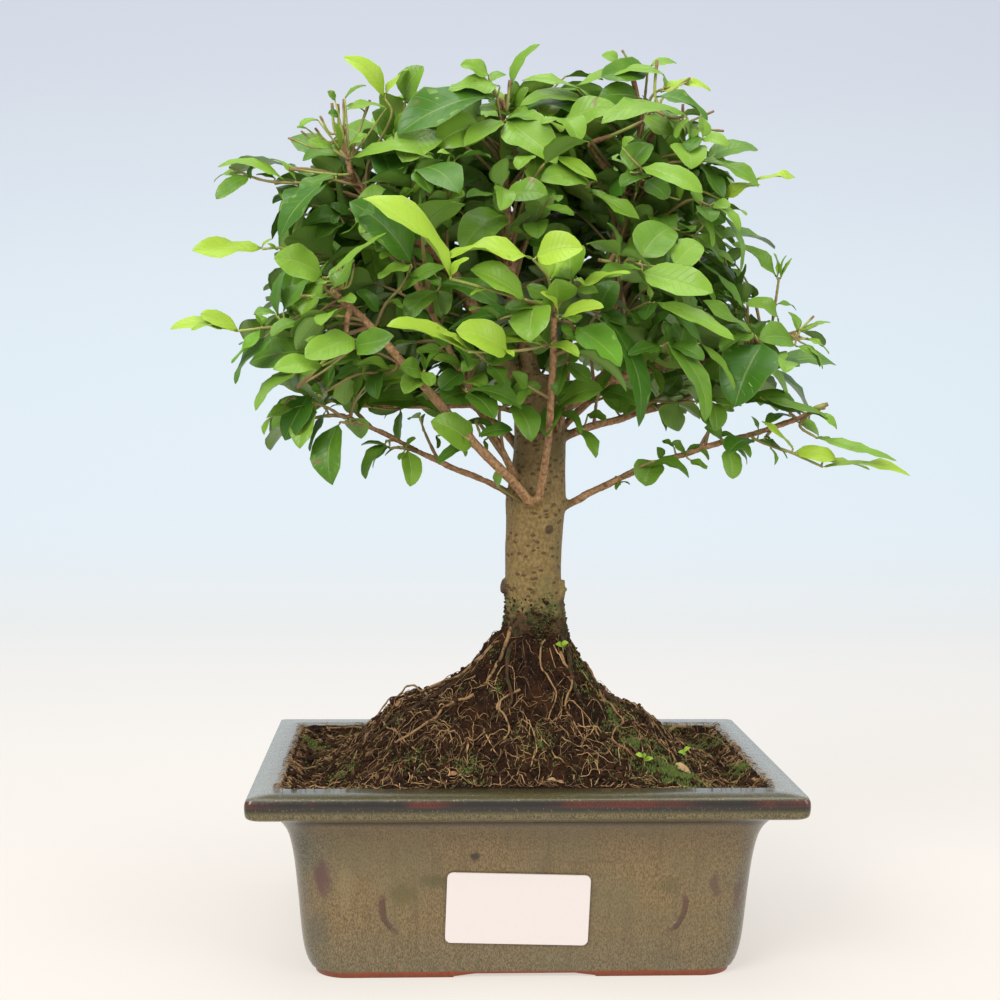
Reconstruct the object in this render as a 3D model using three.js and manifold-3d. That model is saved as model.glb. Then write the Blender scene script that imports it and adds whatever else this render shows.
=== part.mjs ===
// A Chinese privet bonsai in a glazed rectangular pot: the tree, its leafy sprays, the soil and the pot.
// Millimetres, +Z up, the front of the pot towards -Y. Everything is laid out round the middle of the
// pot, and then moved so that the origin is at the middle of the whole plant's footprint.
import * as THREE from "three";
import Module from "manifold-3d";

const wasm = await Module();
wasm.setup();

// Driving dimensions
const toOrigin = [-5, -8.8, 0]; // from the pot's middle to the origin
const seatGap = 0.3; // between pieces that touch

const rimHalf = [77, 58.5]; // half the rim's length and depth
const potHeight = 54.5;
const footHeight = 3.5;
const floorTop = 9.5; // the inside floor of the pot
const footRingWidth = 8;
const footNotch = [50, 36, 1.8]; // the openings between the feet: along X, along Y, and their height
const drainRadius = 6;
const drainSpread = 34; // each drain hole's distance from the middle

const meshPad = { side: 20, thick: 1, holes: 3, pitch: 5.6, hole: 3.8 };
const label = {
  wide: 40,
  high: 20.5,
  thick: 0.5,
  corner: 1.6,
  centre: [-2.3, 20.2],
  roll: 1.6, // degrees
  gap: 0.4, // off the wall, which bends a little behind it
};

const trunkFoot = [4.5, 0]; // where the trunk stands, from the middle of the pot
const soilHalf = [67.2, 45.3]; // half the length and depth of the soil at the rim
const soilEdge = 53.2; // its height there
const hill = { foot: [2, 0], high: 62, fall: 16 }; // the steep hill round the trunk
const heap = 9; // the level that the soil is heaped up to above its edge
const sideHeaps = [
  [-38, 18, 4],
  [50, 12, 2.5],
]; // lower heaps at the sides: their place along X, width and height
const crumb = 0.7; // how far the soil's lumps stand out

const twigRadius = [1.3, 0.7];
const sideGap = 0.1; // more, where a twig leaves the side of its limb
const bareShare = 0.1; // the least of a twig's length that carries no leaf
const blade = 0.64; // a leaf's thickness in this model
const clearance = 0.36; // kept round each leaf
const ownSkip = 3; // the start of a leaf that may meet others on its own twig
const triesPerLeaf = 14;

// Small repeats are drawn from this seeded sequence.
function sequence(seed) {
  let state = seed | 0;
  return () => {
    state = (state + 0x6d2b79f5) | 0;
    let t = Math.imul(state ^ (state >>> 15), 1 | state);
    t = (t + Math.imul(t ^ (t >>> 7), 61 | t)) ^ t;
    return ((t ^ (t >>> 14)) >>> 0) / 4294967296;
  };
}

const vector = (x, y, z) => new THREE.Vector3(x, y, z);

// Bodies from rings

// Turns points and faces into a closed solid.
function solid(points, faces) {
  const vertProperties = new Float32Array(points.length * 3);
  points.forEach((p, i) => vertProperties.set([p.x, p.y, p.z], i * 3));
  return new wasm.Manifold(
    new wasm.Mesh({ numProp: 3, vertProperties, triVerts: new Uint32Array(faces) }),
  );
}

// A closed body through a stack of rings with equal numbers of points, each end closed by a fan.
function loft(rings) {
  const count = rings[0].length;
  const faces = [];
  for (let ring = 0; ring < rings.length - 1; ring++) {
    for (let i = 0; i < count; i++) {
      const a = ring * count + i;
      const b = ring * count + ((i + 1) % count);
      faces.push(a, b, b + count, a, b + count, a + count);
    }
  }
  const top = (rings.length - 1) * count;
  for (let i = 1; i < count - 1; i++) {
    faces.push(0, i + 1, i);
    faces.push(top, top + i, top + i + 1);
  }
  return solid(rings.flat(), faces);
}

// Two directions square to a line, the first of them level.
function acrossOf(line) {
  const level = Math.abs(line.z) > 0.95 ? vector(1, 0, 0) : vector(0, 0, 1);
  const first = vector(0, 0, 0).crossVectors(line, level).normalize();
  const second = vector(0, 0, 0).crossVectors(line, first).normalize();
  return [first, second];
}

// A round tapering stem along a curve, from share `from` of its length. Its foot lies in a plane,
// if one is given, and is square to the curve otherwise.
function stem(curve, radius, sides, steps, from = 0, plane = null) {
  const rings = [];
  let side = acrossOf(curve.getTangent(from))[0];
  for (let i = 0; i <= steps; i++) {
    const share = i / steps;
    const at = curve.getPoint(from + (1 - from) * share);
    const line = curve.getTangent(from + (1 - from) * share);
    side = side.addScaledVector(line, -side.dot(line)).normalize();
    const other = vector(0, 0, 0).crossVectors(line, side);
    const r = radius[0] + (radius[1] - radius[0]) * share;
    const ring = Array.from({ length: sides }, (_, k) => {
      const turn = (k / sides) * Math.PI * 2;
      return at
        .clone()
        .addScaledVector(side, r * Math.cos(turn))
        .addScaledVector(other, r * Math.sin(turn));
    });
    if (plane && i === 0) {
      const slant = plane.normal.dot(line);
      ring.forEach((p) => p.addScaledVector(line, -plane.distanceToPoint(p) / slant));
    }
    rings.push(ring);
  }
  return loft(rings);
}

// A rectangle with round corners at height z, anticlockwise from above.
function roundedRectangle(halfX, halfY, radius, z, cornerSteps, sideSteps = 1) {
  const points = [];
  const corners = [
    [1, -1, -90],
    [1, 1, 0],
    [-1, 1, 90],
    [-1, -1, 180],
  ];
  corners.forEach(([sx, sy, start], c) => {
    for (let i = 0; i <= cornerSteps; i++) {
      const turn = THREE.MathUtils.degToRad(start + (90 * i) / cornerSteps);
      const x = sx * (halfX - radius) + radius * Math.cos(turn);
      const y = sy * (halfY - radius) + radius * Math.sin(turn);
      points.push(vector(x, y, z));
    }
    const [nx, ny] = corners[(c + 1) % 4];
    const from = points.at(-1);
    const along = c % 2 ? [2 * (halfX - radius) * nx, 0] : [0, 2 * (halfY - radius) * ny];
    for (let i = 1; i < sideSteps; i++) {
      const share = i / sideSteps;
      points.push(vector(from.x + along[0] * share, from.y + along[1] * share, z));
    }
  });
  return points;
}

// The pot

// Each row: how far in from the rim's edge, the height, and the corner's radius, with the distance
// in from the front and back where it is another.
const potOutside = [
  [19.8, 0, 11],
  [19.3, footHeight, 11],
  [17.6, footHeight, 12],
  [15.9, 5.5, 13],
  [14.6, 10, 13],
  [13.3, 23, 13],
  [12, 35, 12],
  [10.4, 41.5, 11],
  [7.8, 45.8, 9],
  [5.2, 47.8, 7],
  [1.4, 48.4, 4],
  [0.2, 50, 4],
  [0, 52, 4],
  [0.8, 53.9, 4],
  [2.4, potHeight, 4],
];
const potInside = [
  [8.2, potHeight, 3, 11.6],
  [9, 53.2, 3, 12.4],
  [12, 47, 5, 13.4],
  [17, 41, 8],
  [20.4, 13, 10],
  [23, floorTop, 10],
];

function potRing([inset, z, corner, insetFront = inset]) {
  return roundedRectangle(rimHalf[0] - inset, rimHalf[1] - insetFront, corner, z, 3);
}

function box(wide, deep, high, x, y, z) {
  const ring = (level) => [
    vector(x - wide / 2, y - deep / 2, level),
    vector(x + wide / 2, y - deep / 2, level),
    vector(x + wide / 2, y + deep / 2, level),
    vector(x - wide / 2, y + deep / 2, level),
  ];
  return loft([ring(z), ring(z + high)]);
}

function upright(radius, sides, x, y, bottom, top) {
  const line = new THREE.LineCurve3(vector(x, y, bottom), vector(x, y, top));
  return stem(line, [radius, radius], sides, 1);
}

function makePot() {
  const footInset = potOutside[0][0];
  const hollow = footInset + footRingWidth;
  const recess = loft([
    potRing([hollow, -1, 6]),
    potRing([hollow, footHeight - 0.5, 6]),
  ]);
  const [notchX, notchY, notchHigh] = footNotch;
  const acrossPot = rimHalf[0] * 2;
  let pot = loft([...potOutside, ...potInside].map(potRing));
  pot = pot.subtract(recess);
  pot = pot.subtract(box(notchX, acrossPot, notchHigh + 1, 0, 0, -1));
  pot = pot.subtract(box(acrossPot, notchY, notchHigh + 1, 0, 0, -1));
  for (const side of [-1, 1]) {
    pot = pot.subtract(upright(drainRadius, 12, side * drainSpread, 0, 1, floorTop + 1));
  }
  return pot;
}

// The plastic mesh that keeps the soil in over one drain hole.
function makeDrainMesh(x) {
  const { side, thick, holes, pitch, hole } = meshPad;
  const bottom = floorTop + seatGap;
  let pad = box(side, side, thick, x, 0, bottom);
  for (let i = 0; i < holes; i++) {
    for (let j = 0; j < holes; j++) {
      const dx = (i - (holes - 1) / 2) * pitch;
      const dy = (j - (holes - 1) / 2) * pitch;
      pad = pad.subtract(box(hole, hole, thick + 2, x + dx, dy, bottom - 1));
    }
  }
  return pad;
}

// The bare paper label on the front wall, which leans out as it rises.
function makeLabel() {
  const { wide, high, thick, corner, centre, roll, gap } = label;
  const shape = new THREE.Shape();
  const [w, h] = [wide / 2, high / 2];
  shape.moveTo(-w + corner, -h);
  shape.lineTo(w - corner, -h);
  shape.absarc(w - corner, -h + corner, corner, -Math.PI / 2, 0, false);
  shape.absarc(w - corner, h - corner, corner, 0, Math.PI / 2, false);
  shape.absarc(-w + corner, h - corner, corner, Math.PI / 2, Math.PI, false);
  shape.absarc(-w + corner, -h + corner, corner, Math.PI, Math.PI * 1.5, false);
  const paper = new THREE.ExtrudeGeometry(shape, {
    depth: thick,
    bevelEnabled: false,
    curveSegments: 2,
  });
  const [lowInset, lowZ] = potOutside[4];
  const [highInset, highZ] = potOutside[5];
  const lean = Math.atan2(lowInset - highInset, highZ - lowZ);
  const rise = (centre[1] - lowZ) / (highZ - lowZ);
  const wallAt = rimHalf[1] - lowInset + (lowInset - highInset) * rise;
  const mesh = new THREE.Mesh(paper);
  mesh.rotation.x = Math.PI / 2 + lean;
  mesh.rotation.z = -THREE.MathUtils.degToRad(roll);
  mesh.position.set(centre[0], -(wallAt + gap), centre[1]);
  return mesh;
}

// The soil

// The soil's height at a point: a steep hill round the trunk, on a low heap with lumps in it.
function soilHeight(x, y) {
  const away = Math.hypot(x - hill.foot[0], y - hill.foot[1]);
  const inner = Math.max(0, 1 - (x / soilHalf[0]) ** 4) * Math.max(0, 1 - (y / soilHalf[1]) ** 4);
  const lumps =
    Math.sin(x * 0.61 + 1.3) * Math.sin(y * 0.57 + 0.4) + 0.7 * Math.sin(x * 0.23 - y * 0.37 + 2);
  const sides = sideHeaps.map(([at, wide, high]) => high * Math.exp(-(((x - at) / wide) ** 2)));
  const high = hill.high * Math.exp(-away / hill.fall) + heap + sides[0] + sides[1];
  return soilEdge + inner * (high + crumb * lumps);
}

// The soil's sides, in the same terms as the pot's inside and a gap off it.
const soilWalls = [
  [23.4, floorTop + seatGap, 9.6],
  [20.8, 13.2, 9.6],
  [17.5, 41, 7.6],
  [12.5, 47, 4.6, 13.9],
  [10.2, 51.4, 3, 13.3],
];
const soilCorner = 3;
const moundShares = [0, 0.12, 0.28, 0.44, 0.58, 0.7, 0.8, 0.89]; // from the soil's edge to the trunk
const trunkCore = 5; // the radius inside the trunk that the soil's surface runs up to

function makeSoil(cutters) {
  const walls = soilWalls.map(([inset, z, corner, insetFront = inset]) =>
    roundedRectangle(rimHalf[0] - inset, rimHalf[1] - insetFront, corner, z, 3, 3),
  );
  const brim = roundedRectangle(soilHalf[0], soilHalf[1], soilCorner, soilEdge, 3, 3);
  const mound = moundShares.map((share) =>
    brim.map((p) => {
      const turn = Math.atan2(p.y - trunkFoot[1], p.x - trunkFoot[0]);
      const cx = trunkFoot[0] + trunkCore * Math.cos(turn);
      const cy = trunkFoot[1] + trunkCore * Math.sin(turn);
      const x = p.x + (cx - p.x) * share;
      const y = p.y + (cy - p.y) * share;
      return vector(x, y, soilHeight(x, y));
    }),
  );
  let soil = loft([...walls, ...mound]);
  for (const fibre of fibreRoots()) soil = soil.add(fibre);
  for (const cutter of cutters) soil = soil.subtract(cutter);
  for (const side of [-1, 1]) {
    const pocket = meshPad.side + 2 * seatGap;
    const high = meshPad.thick + 2 * seatGap;
    soil = soil.subtract(box(pocket, pocket, high, side * drainSpread, 0, floorTop));
  }
  return soil;
}

// Feeder roots that lie matted over the soil, each a thin bent thread sunk into it at both ends.
const fibres = {
  count: 6,
  seed: 4100,
  radius: 0.9,
  length: [14, 24],
  away: [17, 27], // from the trunk: the least, and how much more at most
  oval: [1.25, 0.85], // the ring that they lie in, along X and Y
  step: 137.5, // degrees round the trunk from one to the next
  lifts: [-1.6, 0.7, 0.7, -1.6], // each one's height over the soil, from end to end
  bends: [0, 3, -3, 0], // how far it bends sideways
  inside: 3, // kept off the soil's edge
};

function fibreRoots() {
  return Array.from({ length: fibres.count }, (_, i) => {
    const { radius, oval, inside } = fibres;
    const draw = sequence(fibres.seed + i);
    const turn = THREE.MathUtils.degToRad(i * fibres.step + draw() * 40);
    const away = fibres.away[0] + fibres.away[1] * Math.sqrt(draw());
    const reach = fibres.length[0] + draw() * (fibres.length[1] - fibres.length[0]);
    const heading = turn + (draw() - 0.5) * 2.2;
    const x = trunkFoot[0] + away * oval[0] * Math.cos(turn);
    const y = away * oval[1] * Math.sin(turn);
    const points = fibres.lifts.map((lift, k) => {
      const along = (k / 3 - 0.5) * reach;
      const bend = fibres.bends[k] * (draw() - 0.3);
      const px = x + along * Math.cos(heading) - bend * Math.sin(heading);
      const py = y + along * Math.sin(heading) + bend * Math.cos(heading);
      const inX = THREE.MathUtils.clamp(px, inside - soilHalf[0], soilHalf[0] - inside);
      const inY = THREE.MathUtils.clamp(py, inside - soilHalf[1], soilHalf[1] - inside);
      return vector(inX, inY, soilHeight(inX, inY) + lift);
    });
    return stem(new THREE.CatmullRomCurve3(points), [radius, radius * 0.6], 3, 3);
  });
}

// The tree

// The trunk's middle and radius at each height.
const trunkRings = [
  [5, 0.5, 42, 7],
  [5, 0, 78, 10.5],
  [5, 0, 90, 10.2],
  [4.8, 0, 97, 9.1],
  [4.4, 0, 104, 8.6],
  [4.2, 0, 114, 8.5],
  [4.7, 0, 125, 8.7],
  [5, 0, 132, 9.1],
  [5.6, 0.3, 140, 8.3],
  [6.2, 0.6, 150, 7.8],
  [5.8, 0.8, 160, 7.5],
  [5.4, 1, 166, 6.3],
  [5.2, 1, 170, 4],
];

// Each limb: its route, and its radius where it leaves the trunk and at its far end.
const limbs = {
  low_left: {
    route: [[2, 0, 130], [-6, -3, 135.5], [-24, -8, 143], [-39, -14, 151], [-52, -20, 157]],
    radius: [1.9, 1.2],
  },
  front_left: {
    route: [[4, -2, 127], [2, -9, 132], [-14, -20, 149], [-29, -26, 165], [-44, -30, 182], [-53, -32, 190]],
    radius: [2.6, 1.8],
  },
  inner_left: {
    route: [[4, -2, 133], [-3, -8, 141], [-7, -10, 149], [-18, -12, 169], [-27, -14, 187], [-34, -15, 199]],
    radius: [2.2, 1.4],
  },
  front_post: {
    route: [[5, -3, 127], [5, -10, 133], [7, -20, 152], [7, -32, 177], [7, -35, 186]],
    radius: [2.1, 1.7],
  },
  side_post: {
    route: [[9, -3, 146], [12, -10, 158], [13, -22, 184]],
    radius: [1.3, 1.1],
  },
  low_right: {
    route: [[8, 0, 127], [15, -1, 131], [28, -3, 138], [42, -5, 144], [60, -8, 150], [81, -12, 157], [89, -14, 161]],
    radius: [2.1, 1.3],
  },
  right: {
    route: [[8, 1, 149], [18, 2, 153], [31, 4, 157], [51, 8, 163], [63, 10, 169]],
    radius: [2.3, 1.6],
  },
  right_fork: {
    route: [[18, 2, 163], [27, 2, 167], [40, 2, 172], [55, 0, 174], [66, -2, 177], [76, -4, 181]],
    radius: [2.2, 1.5],
  },
  left_level: {
    route: [[4, 3, 155], [-3, 6, 159], [-32, 12, 160], [-52, 11, 160]],
    radius: [1.6, 1.2],
  },
  leader_left: {
    route: [[4, 0, 160], [-3, 1, 170], [-10, 2, 178], [-15, 4, 190], [-25, 2, 205], [-42, -2, 217], [-50, -4, 226]],
    radius: [3.6, 1.8],
  },
  leader_middle: {
    route: [[4, 1, 160], [3, 2, 172], [-2, 4, 192], [-5, 6, 223], [-6, 2, 243]],
    radius: [3.8, 1.5],
  },
  leader_right: {
    route: [[6, 1, 158], [16, 2, 163], [27, 3, 170], [31, 5, 182], [29, 6, 199], [30, 6, 217], [36, 4, 240]],
    radius: [3.8, 1.6],
  },
  back: {
    route: [[5, 3, 138], [6, 14, 149], [4, 30, 166], [0, 44, 182], [-4, 50, 192]],
    radius: [2.6, 1.5],
  },
  back_left: {
    route: [[3, 3, 144], [-8, 16, 156], [-28, 29, 170], [-44, 36, 184]],
    radius: [2.3, 1.4],
  },
  back_right: {
    route: [[7, 3, 146], [18, 16, 158], [36, 28, 172], [50, 36, 184]],
    radius: [2.3, 1.4],
  },
  crown_back: {
    route: [[-3, 5, 200], [2, 18, 213], [4, 32, 230]],
    radius: [1.8, 1.3],
  },
};

// Each leafy spray: the limb it grows from, how far along that limb, where its tip is, its kind, and
// the places that the tips of its plainest leaves reach, by their order along the spray.
const sprays = [
  // left side
  ["front_left", 1, [-81, -17, 184], "young", { 2: [-102, -15, 183], 3: [-87, -20, 177] }],
  ["leader_left", 0.72, [-76, -12, 207], "young", { 2: [-97, -10, 206] }],
  ["leader_left", 1, [-78, -9, 228], "mature", { 4: [-91, -10, 221], 5: [-89, -10, 231] }],
  ["low_left", 1, [-64, -22, 155], "mature", { 0: [-56, -22, 138], 4: [-74, -15, 154] }],
  ["low_left", 0.62, [-42, -19, 147], "small", { 0: [-34, -18, 137], 2: [-47, -22, 140] }],
  ["front_left", 0.8, [-65, -26, 169], "mature"],
  ["left_level", 1, [-65, 9, 163], "mature"],
  ["inner_left", 1, [-56, -23, 211], "mature"],
  ["back_left", 0.7, [-63, 23, 182], "mature"],
  // top
  ["leader_left", 0.93, [-41, -2, 250], "young", { 2: [-54, -2, 262], 3: [-33, 0, 260] }],
  ["leader_left", 0.86, [-56, 14, 233], "mature"],
  ["leader_middle", 0.86, [-22, -8, 244], "mature"],
  ["leader_middle", 1, [-4, 0, 256], "young", { 2: [4, 0, 268], 3: [-19, 0, 261] }],
  ["leader_middle", 0.92, [13, 4, 247], "mature"],
  ["leader_right", 1, [34, -2, 252], "mature", { 4: [24, 0, 266], 5: [44, 0, 265] }],
  ["leader_right", 0.91, [45, 5, 246], "young", { 2: [56, 0, 256] }],
  ["leader_right", 0.83, [54, -6, 234], "mature", { 4: [70, -4, 238] }],
  // right side
  ["leader_right", 0.74, [61, -9, 225], "young", { 2: [82, -8, 230], 3: [75, -12, 222] }],
  ["leader_right", 0.62, [59, 1, 211], "mature"],
  ["right_fork", 0.93, [77, 0, 198], "small"],
  ["right_fork", 1, [86, -9, 184], "small"],
  ["right_fork", 0.7, [74, -19, 175], "mature", { 4: [61, -20, 162] }],
  ["low_right", 0.86, [89, -13, 149], "young", { 2: [112, -10, 146], 3: [115, -12, 142] }],
  ["low_right", 0.7, [68, -16, 150], "small", { 0: [62, -14, 139] }],
  ["low_right", 0.36, [41, -12, 145], "small", { 0: [37, -14, 137] }],
  ["right", 1, [78, 13, 172], "mature"],
  ["right", 0.62, [52, -8, 162], "small"],
  // front
  ["front_post", 0.94, [-22, -52, 195], "young", { 2: [-46, -56, 214], 3: [-14, -57, 202] }],
  ["front_post", 1, [0, -54, 199], "young", { 2: [-22, -60, 202], 3: [13, -60, 204] }],
  ["front_post", 0.85, [-16, -55, 176], "young", { 2: [-39, -58, 182], 3: [-12, -57, 186] }],
  ["side_post", 1, [14, -38, 184], "young", { 2: [25, -48, 171], 3: [20, -50, 189] }],
  ["front_post", 0.72, [19, -44, 174], "mature", { 4: [31, -46, 157] }],
  ["leader_right", 0.48, [36, -34, 204], "mature"],
  ["right_fork", 0.42, [46, -30, 180], "mature"],
  ["front_left", 0.52, [-22, -36, 156], "small"],
  ["front_left", 0.88, [-50, -48, 192], "mature"],
  ["inner_left", 0.8, [-30, -42, 209], "mature"],
  ["leader_middle", 0.6, [4, -34, 228], "mature"],
  ["leader_left", 0.66, [-30, -34, 232], "mature"],
  ["leader_right", 0.72, [36, -32, 232], "mature"],
  // back
  ["back", 1, [-4, 66, 202], "mature"],
  ["back", 0.75, [14, 60, 180], "mature"],
  ["back_left", 1, [-54, 50, 200], "mature"],
  ["back_right", 1, [60, 46, 200], "mature"],
  ["back_left", 0.6, [-36, 50, 172], "mature"],
  ["back_right", 0.62, [44, 50, 172], "mature"],
  ["crown_back", 0.88, [-24, 42, 232], "mature"],
  ["crown_back", 0.76, [26, 42, 234], "mature"],
  ["crown_back", 1, [3, 38, 247], "mature"],
  ["leader_left", 0.55, [-40, 34, 216], "mature"],
  ["leader_right", 0.66, [54, 30, 220], "mature"],
];

// What each kind of spray carries: its leafy length, its pairs, and the leaves' length and width.
const kinds = {
  mature: { leafy: 30, pairs: 3, length: 18.5, slim: 0.56, green: 0x3f7a22 },
  young: { leafy: 27, pairs: 2, length: 21, slim: 0.46, green: 0x9ccb2a },
  small: { leafy: 22, pairs: 3, length: 10, slim: 0.66, green: 0x4c8a2a },
};

// A leaf's edge on one side: places along its length, and the share of its half width there.
const leafOutline = [
  [0.34, 1],
  [0.72, 0.78],
];

const routeOf = (points) => new THREE.CatmullRomCurve3(points.map((p) => vector(...p)));
const limbCurves = Object.fromEntries(
  Object.entries(limbs).map(([name, limb]) => [name, routeOf(limb.route)]),
);

// How a twig bows between its ends: where along it, and how far on along its limb and up. All three
// are shares of its length.
const bowAt = 0.45;
const bowAlong = 0.12;
const bowUp = 0.08;

// A spray's twig: its line from the middle of its limb to its tip, bowed up, the plane and the share
// where its foot ends, a gap off the side or the end of its limb, and the share where it turns leafy.
function twigOf([limb, share, tip, kind]) {
  const start = limbCurves[limb].getPoint(share);
  const along = limbCurves[limb].getTangent(share);
  const end = vector(...tip);
  const reach = start.distanceTo(end);
  const bow = start.clone().lerp(end, bowAt).addScaledVector(along, reach * bowAlong);
  bow.z += reach * bowUp;
  const curve = new THREE.QuadraticBezierCurve3(start, bow, end);
  const heading = curve.getTangent(0);
  const off = heading.clone().addScaledVector(along, -heading.dot(along)).normalize();
  const [thick, thin] = limbs[limb].radius;
  const normal = share < 1 ? off : along;
  const gap = seatGap + (share < 1 ? sideGap + thick + (thin - thick) * share : 0);
  const plane = new THREE.Plane(normal, -normal.dot(start) - gap);
  const foot = gap / (2 * bowAt * reach * normal.dot(heading));
  const leafy = Math.max(foot + bareShare, 1 - kinds[kind].leafy / reach);
  return { curve, plane, foot, leafy };
}

const surfaceRoots = [
  [195, 58, 2.6],
  [245, 36, 2.2],
  [305, 34, 2.1],
  [345, 46, 2.3],
  [60, 36, 2.2],
  [125, 40, 2.1],
]; // each root's bearing, reach and thickness

// How a root runs out: the shares of its reach at its turns, its middle's height over the soil there
// by its own radius, how far it swings to the sides, and how much shorter it is along Y.
const rootRun = {
  shares: [0.1, 0.22, 0.38, 0.58, 0.78, 1],
  lifts: [-1.2, -0.4, 0, 0.25, 0.25, -1],
  wander: 0.16,
  oval: 0.9,
  thin: 0.45, // its radius at the end, as a share of that at the start
};

function rootCurve([bearing, reach, radius]) {
  const turn = THREE.MathUtils.degToRad(bearing);
  const { shares, lifts, wander, oval } = rootRun;
  return new THREE.CatmullRomCurve3(
    shares.map((share, i) => {
      const heading = turn + wander * Math.sin(i * 2.1 + bearing);
      const x = trunkFoot[0] + reach * share * Math.cos(heading);
      const y = trunkFoot[1] + reach * share * Math.sin(heading) * oval;
      return vector(x, y, soilHeight(x, y) + lifts[i] * radius);
    }),
  );
}

// The trunk with its roots and limbs, each grown outwards by `grow` where it cuts the soil.
function makeRootedTrunk(grow) {
  const sides = 12;
  const rings = trunkRings.map(([x, y, z, r]) =>
    Array.from({ length: sides }, (_, k) => {
      const turn = (k / sides) * Math.PI * 2;
      const flute = 1 + 0.035 * Math.sin(3 * turn + z * 0.03) + 0.02 * Math.sin(5 * turn);
      const out = r * flute + grow;
      return vector(x + out * Math.cos(turn), y + out * Math.sin(turn), z);
    }),
  );
  rings[0].forEach((p) => (p.z -= grow));
  let trunk = loft(rings);
  for (const root of surfaceRoots) {
    const [thick, thin] = [root[2] + grow, rootRun.thin * root[2] + grow];
    trunk = trunk.add(stem(rootCurve(root), [thick, thin], 4, 4));
  }
  return trunk;
}

function makeTree() {
  let tree = makeRootedTrunk(0);
  for (const [name, limb] of Object.entries(limbs)) {
    tree = tree.add(stem(limbCurves[name], limb.radius, 5, limb.route.length - 1));
  }
  return tree;
}

// Leaves

// A leaf's solid, which ends in a point. It runs from `base` along `line` with its upper side to
// `face`. Its midrib is arched, and each half is folded up from it. The solid is `spread` wider than
// the leaf all round, and starts `skip` out along it.
function leafSolid({ base, line, face, length, half, arch, fold, wave }, thick, spread, skip) {
  const across = vector(0, 0, 0).crossVectors(face, line);
  const at = (u, v, lift) =>
    base
      .clone()
      .addScaledVector(line, u * length)
      .addScaledVector(across, v)
      .addScaledVector(face, lift);
  const rise = (u) => arch * length * 4 * u * (1 - u);
  const edge = (side, [u, share], i) => {
    const v = half * share + spread;
    return [u, side * v, rise(u) + fold * v + (i ? -side : side) * wave];
  };
  const right = leafOutline.map((place, i) => edge(-1, place, i));
  const left = leafOutline.map((place, i) => edge(1, place, i)).reverse();
  const root = skip / length;
  const places = [[root, 0, rise(root)], ...right, ...left, [0.5, 0, rise(0.5)]];
  const layer = (lift) => places.map(([u, v, up]) => at(u, v, up + lift));
  const tip = 0;
  const corners = [at(1 + spread / length, 0, 0), ...layer(thick / 2), ...layer(-thick / 2)];
  const rim = 1 + 2 * leafOutline.length;
  const middle = 1 + rim;
  const toUnder = rim + 1;
  const faces = [];
  const bothSides = (a, b, c) => faces.push(a, b, c, a + toUnder, c + toUnder, b + toUnder);
  bothSides(1, 2, rim);
  bothSides(middle, rim, 2);
  for (let i = 1; i <= rim; i++) {
    const j = (i % rim) + 1;
    if (i === leafOutline.length + 1) {
      faces.push(middle, i, tip, middle, tip, j, i, i + toUnder, tip, tip, j + toUnder, j);
      faces.push(middle + toUnder, tip, i + toUnder, middle + toUnder, j + toUnder, tip);
    } else {
      if (i > 1 && j > 1) bothSides(middle, i, j);
      faces.push(i, i + toUnder, j + toUnder, i, j + toUnder, j);
    }
  }
  return solid(corners, faces);
}

// How the leaves stand on a twig. Angles are in radians. A leaf that meets something is tried again,
// a little shorter and looser each time.
const habit = {
  firstPair: 0.25, // the first pair's place along the leafy part, and how far on the last pair is
  pairRun: 0.73,
  pairTurn: 1.15, // round the twig from one pair to the next
  sprayTurn: 0.7, // from one spray to the next
  loose: 0.35, // how far a leaf turns off its place, and how much more at each try
  looser: 0.09,
  splay: 0.95, // a leaf's angle off the twig, and that of the last pair
  lastSplay: 0.62,
  splayRange: 0.5,
  shrink: 0.035,
  droop: 0.16,
  length: [0.8, 0.42], // by its kind's length: the least, and how much more at most
  width: [0.9, 0.25], // likewise by its kind's width
  arch: [0.05, 0.07],
  fold: [0.12, 0.22],
  wave: 0.09,
  tilt: 0.9, // how far its face is turned at random
  outward: 0.35, // how far it faces away from the trunk, and back along the twig
  backward: 0.25,
  upward: 0.85,
};

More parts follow.
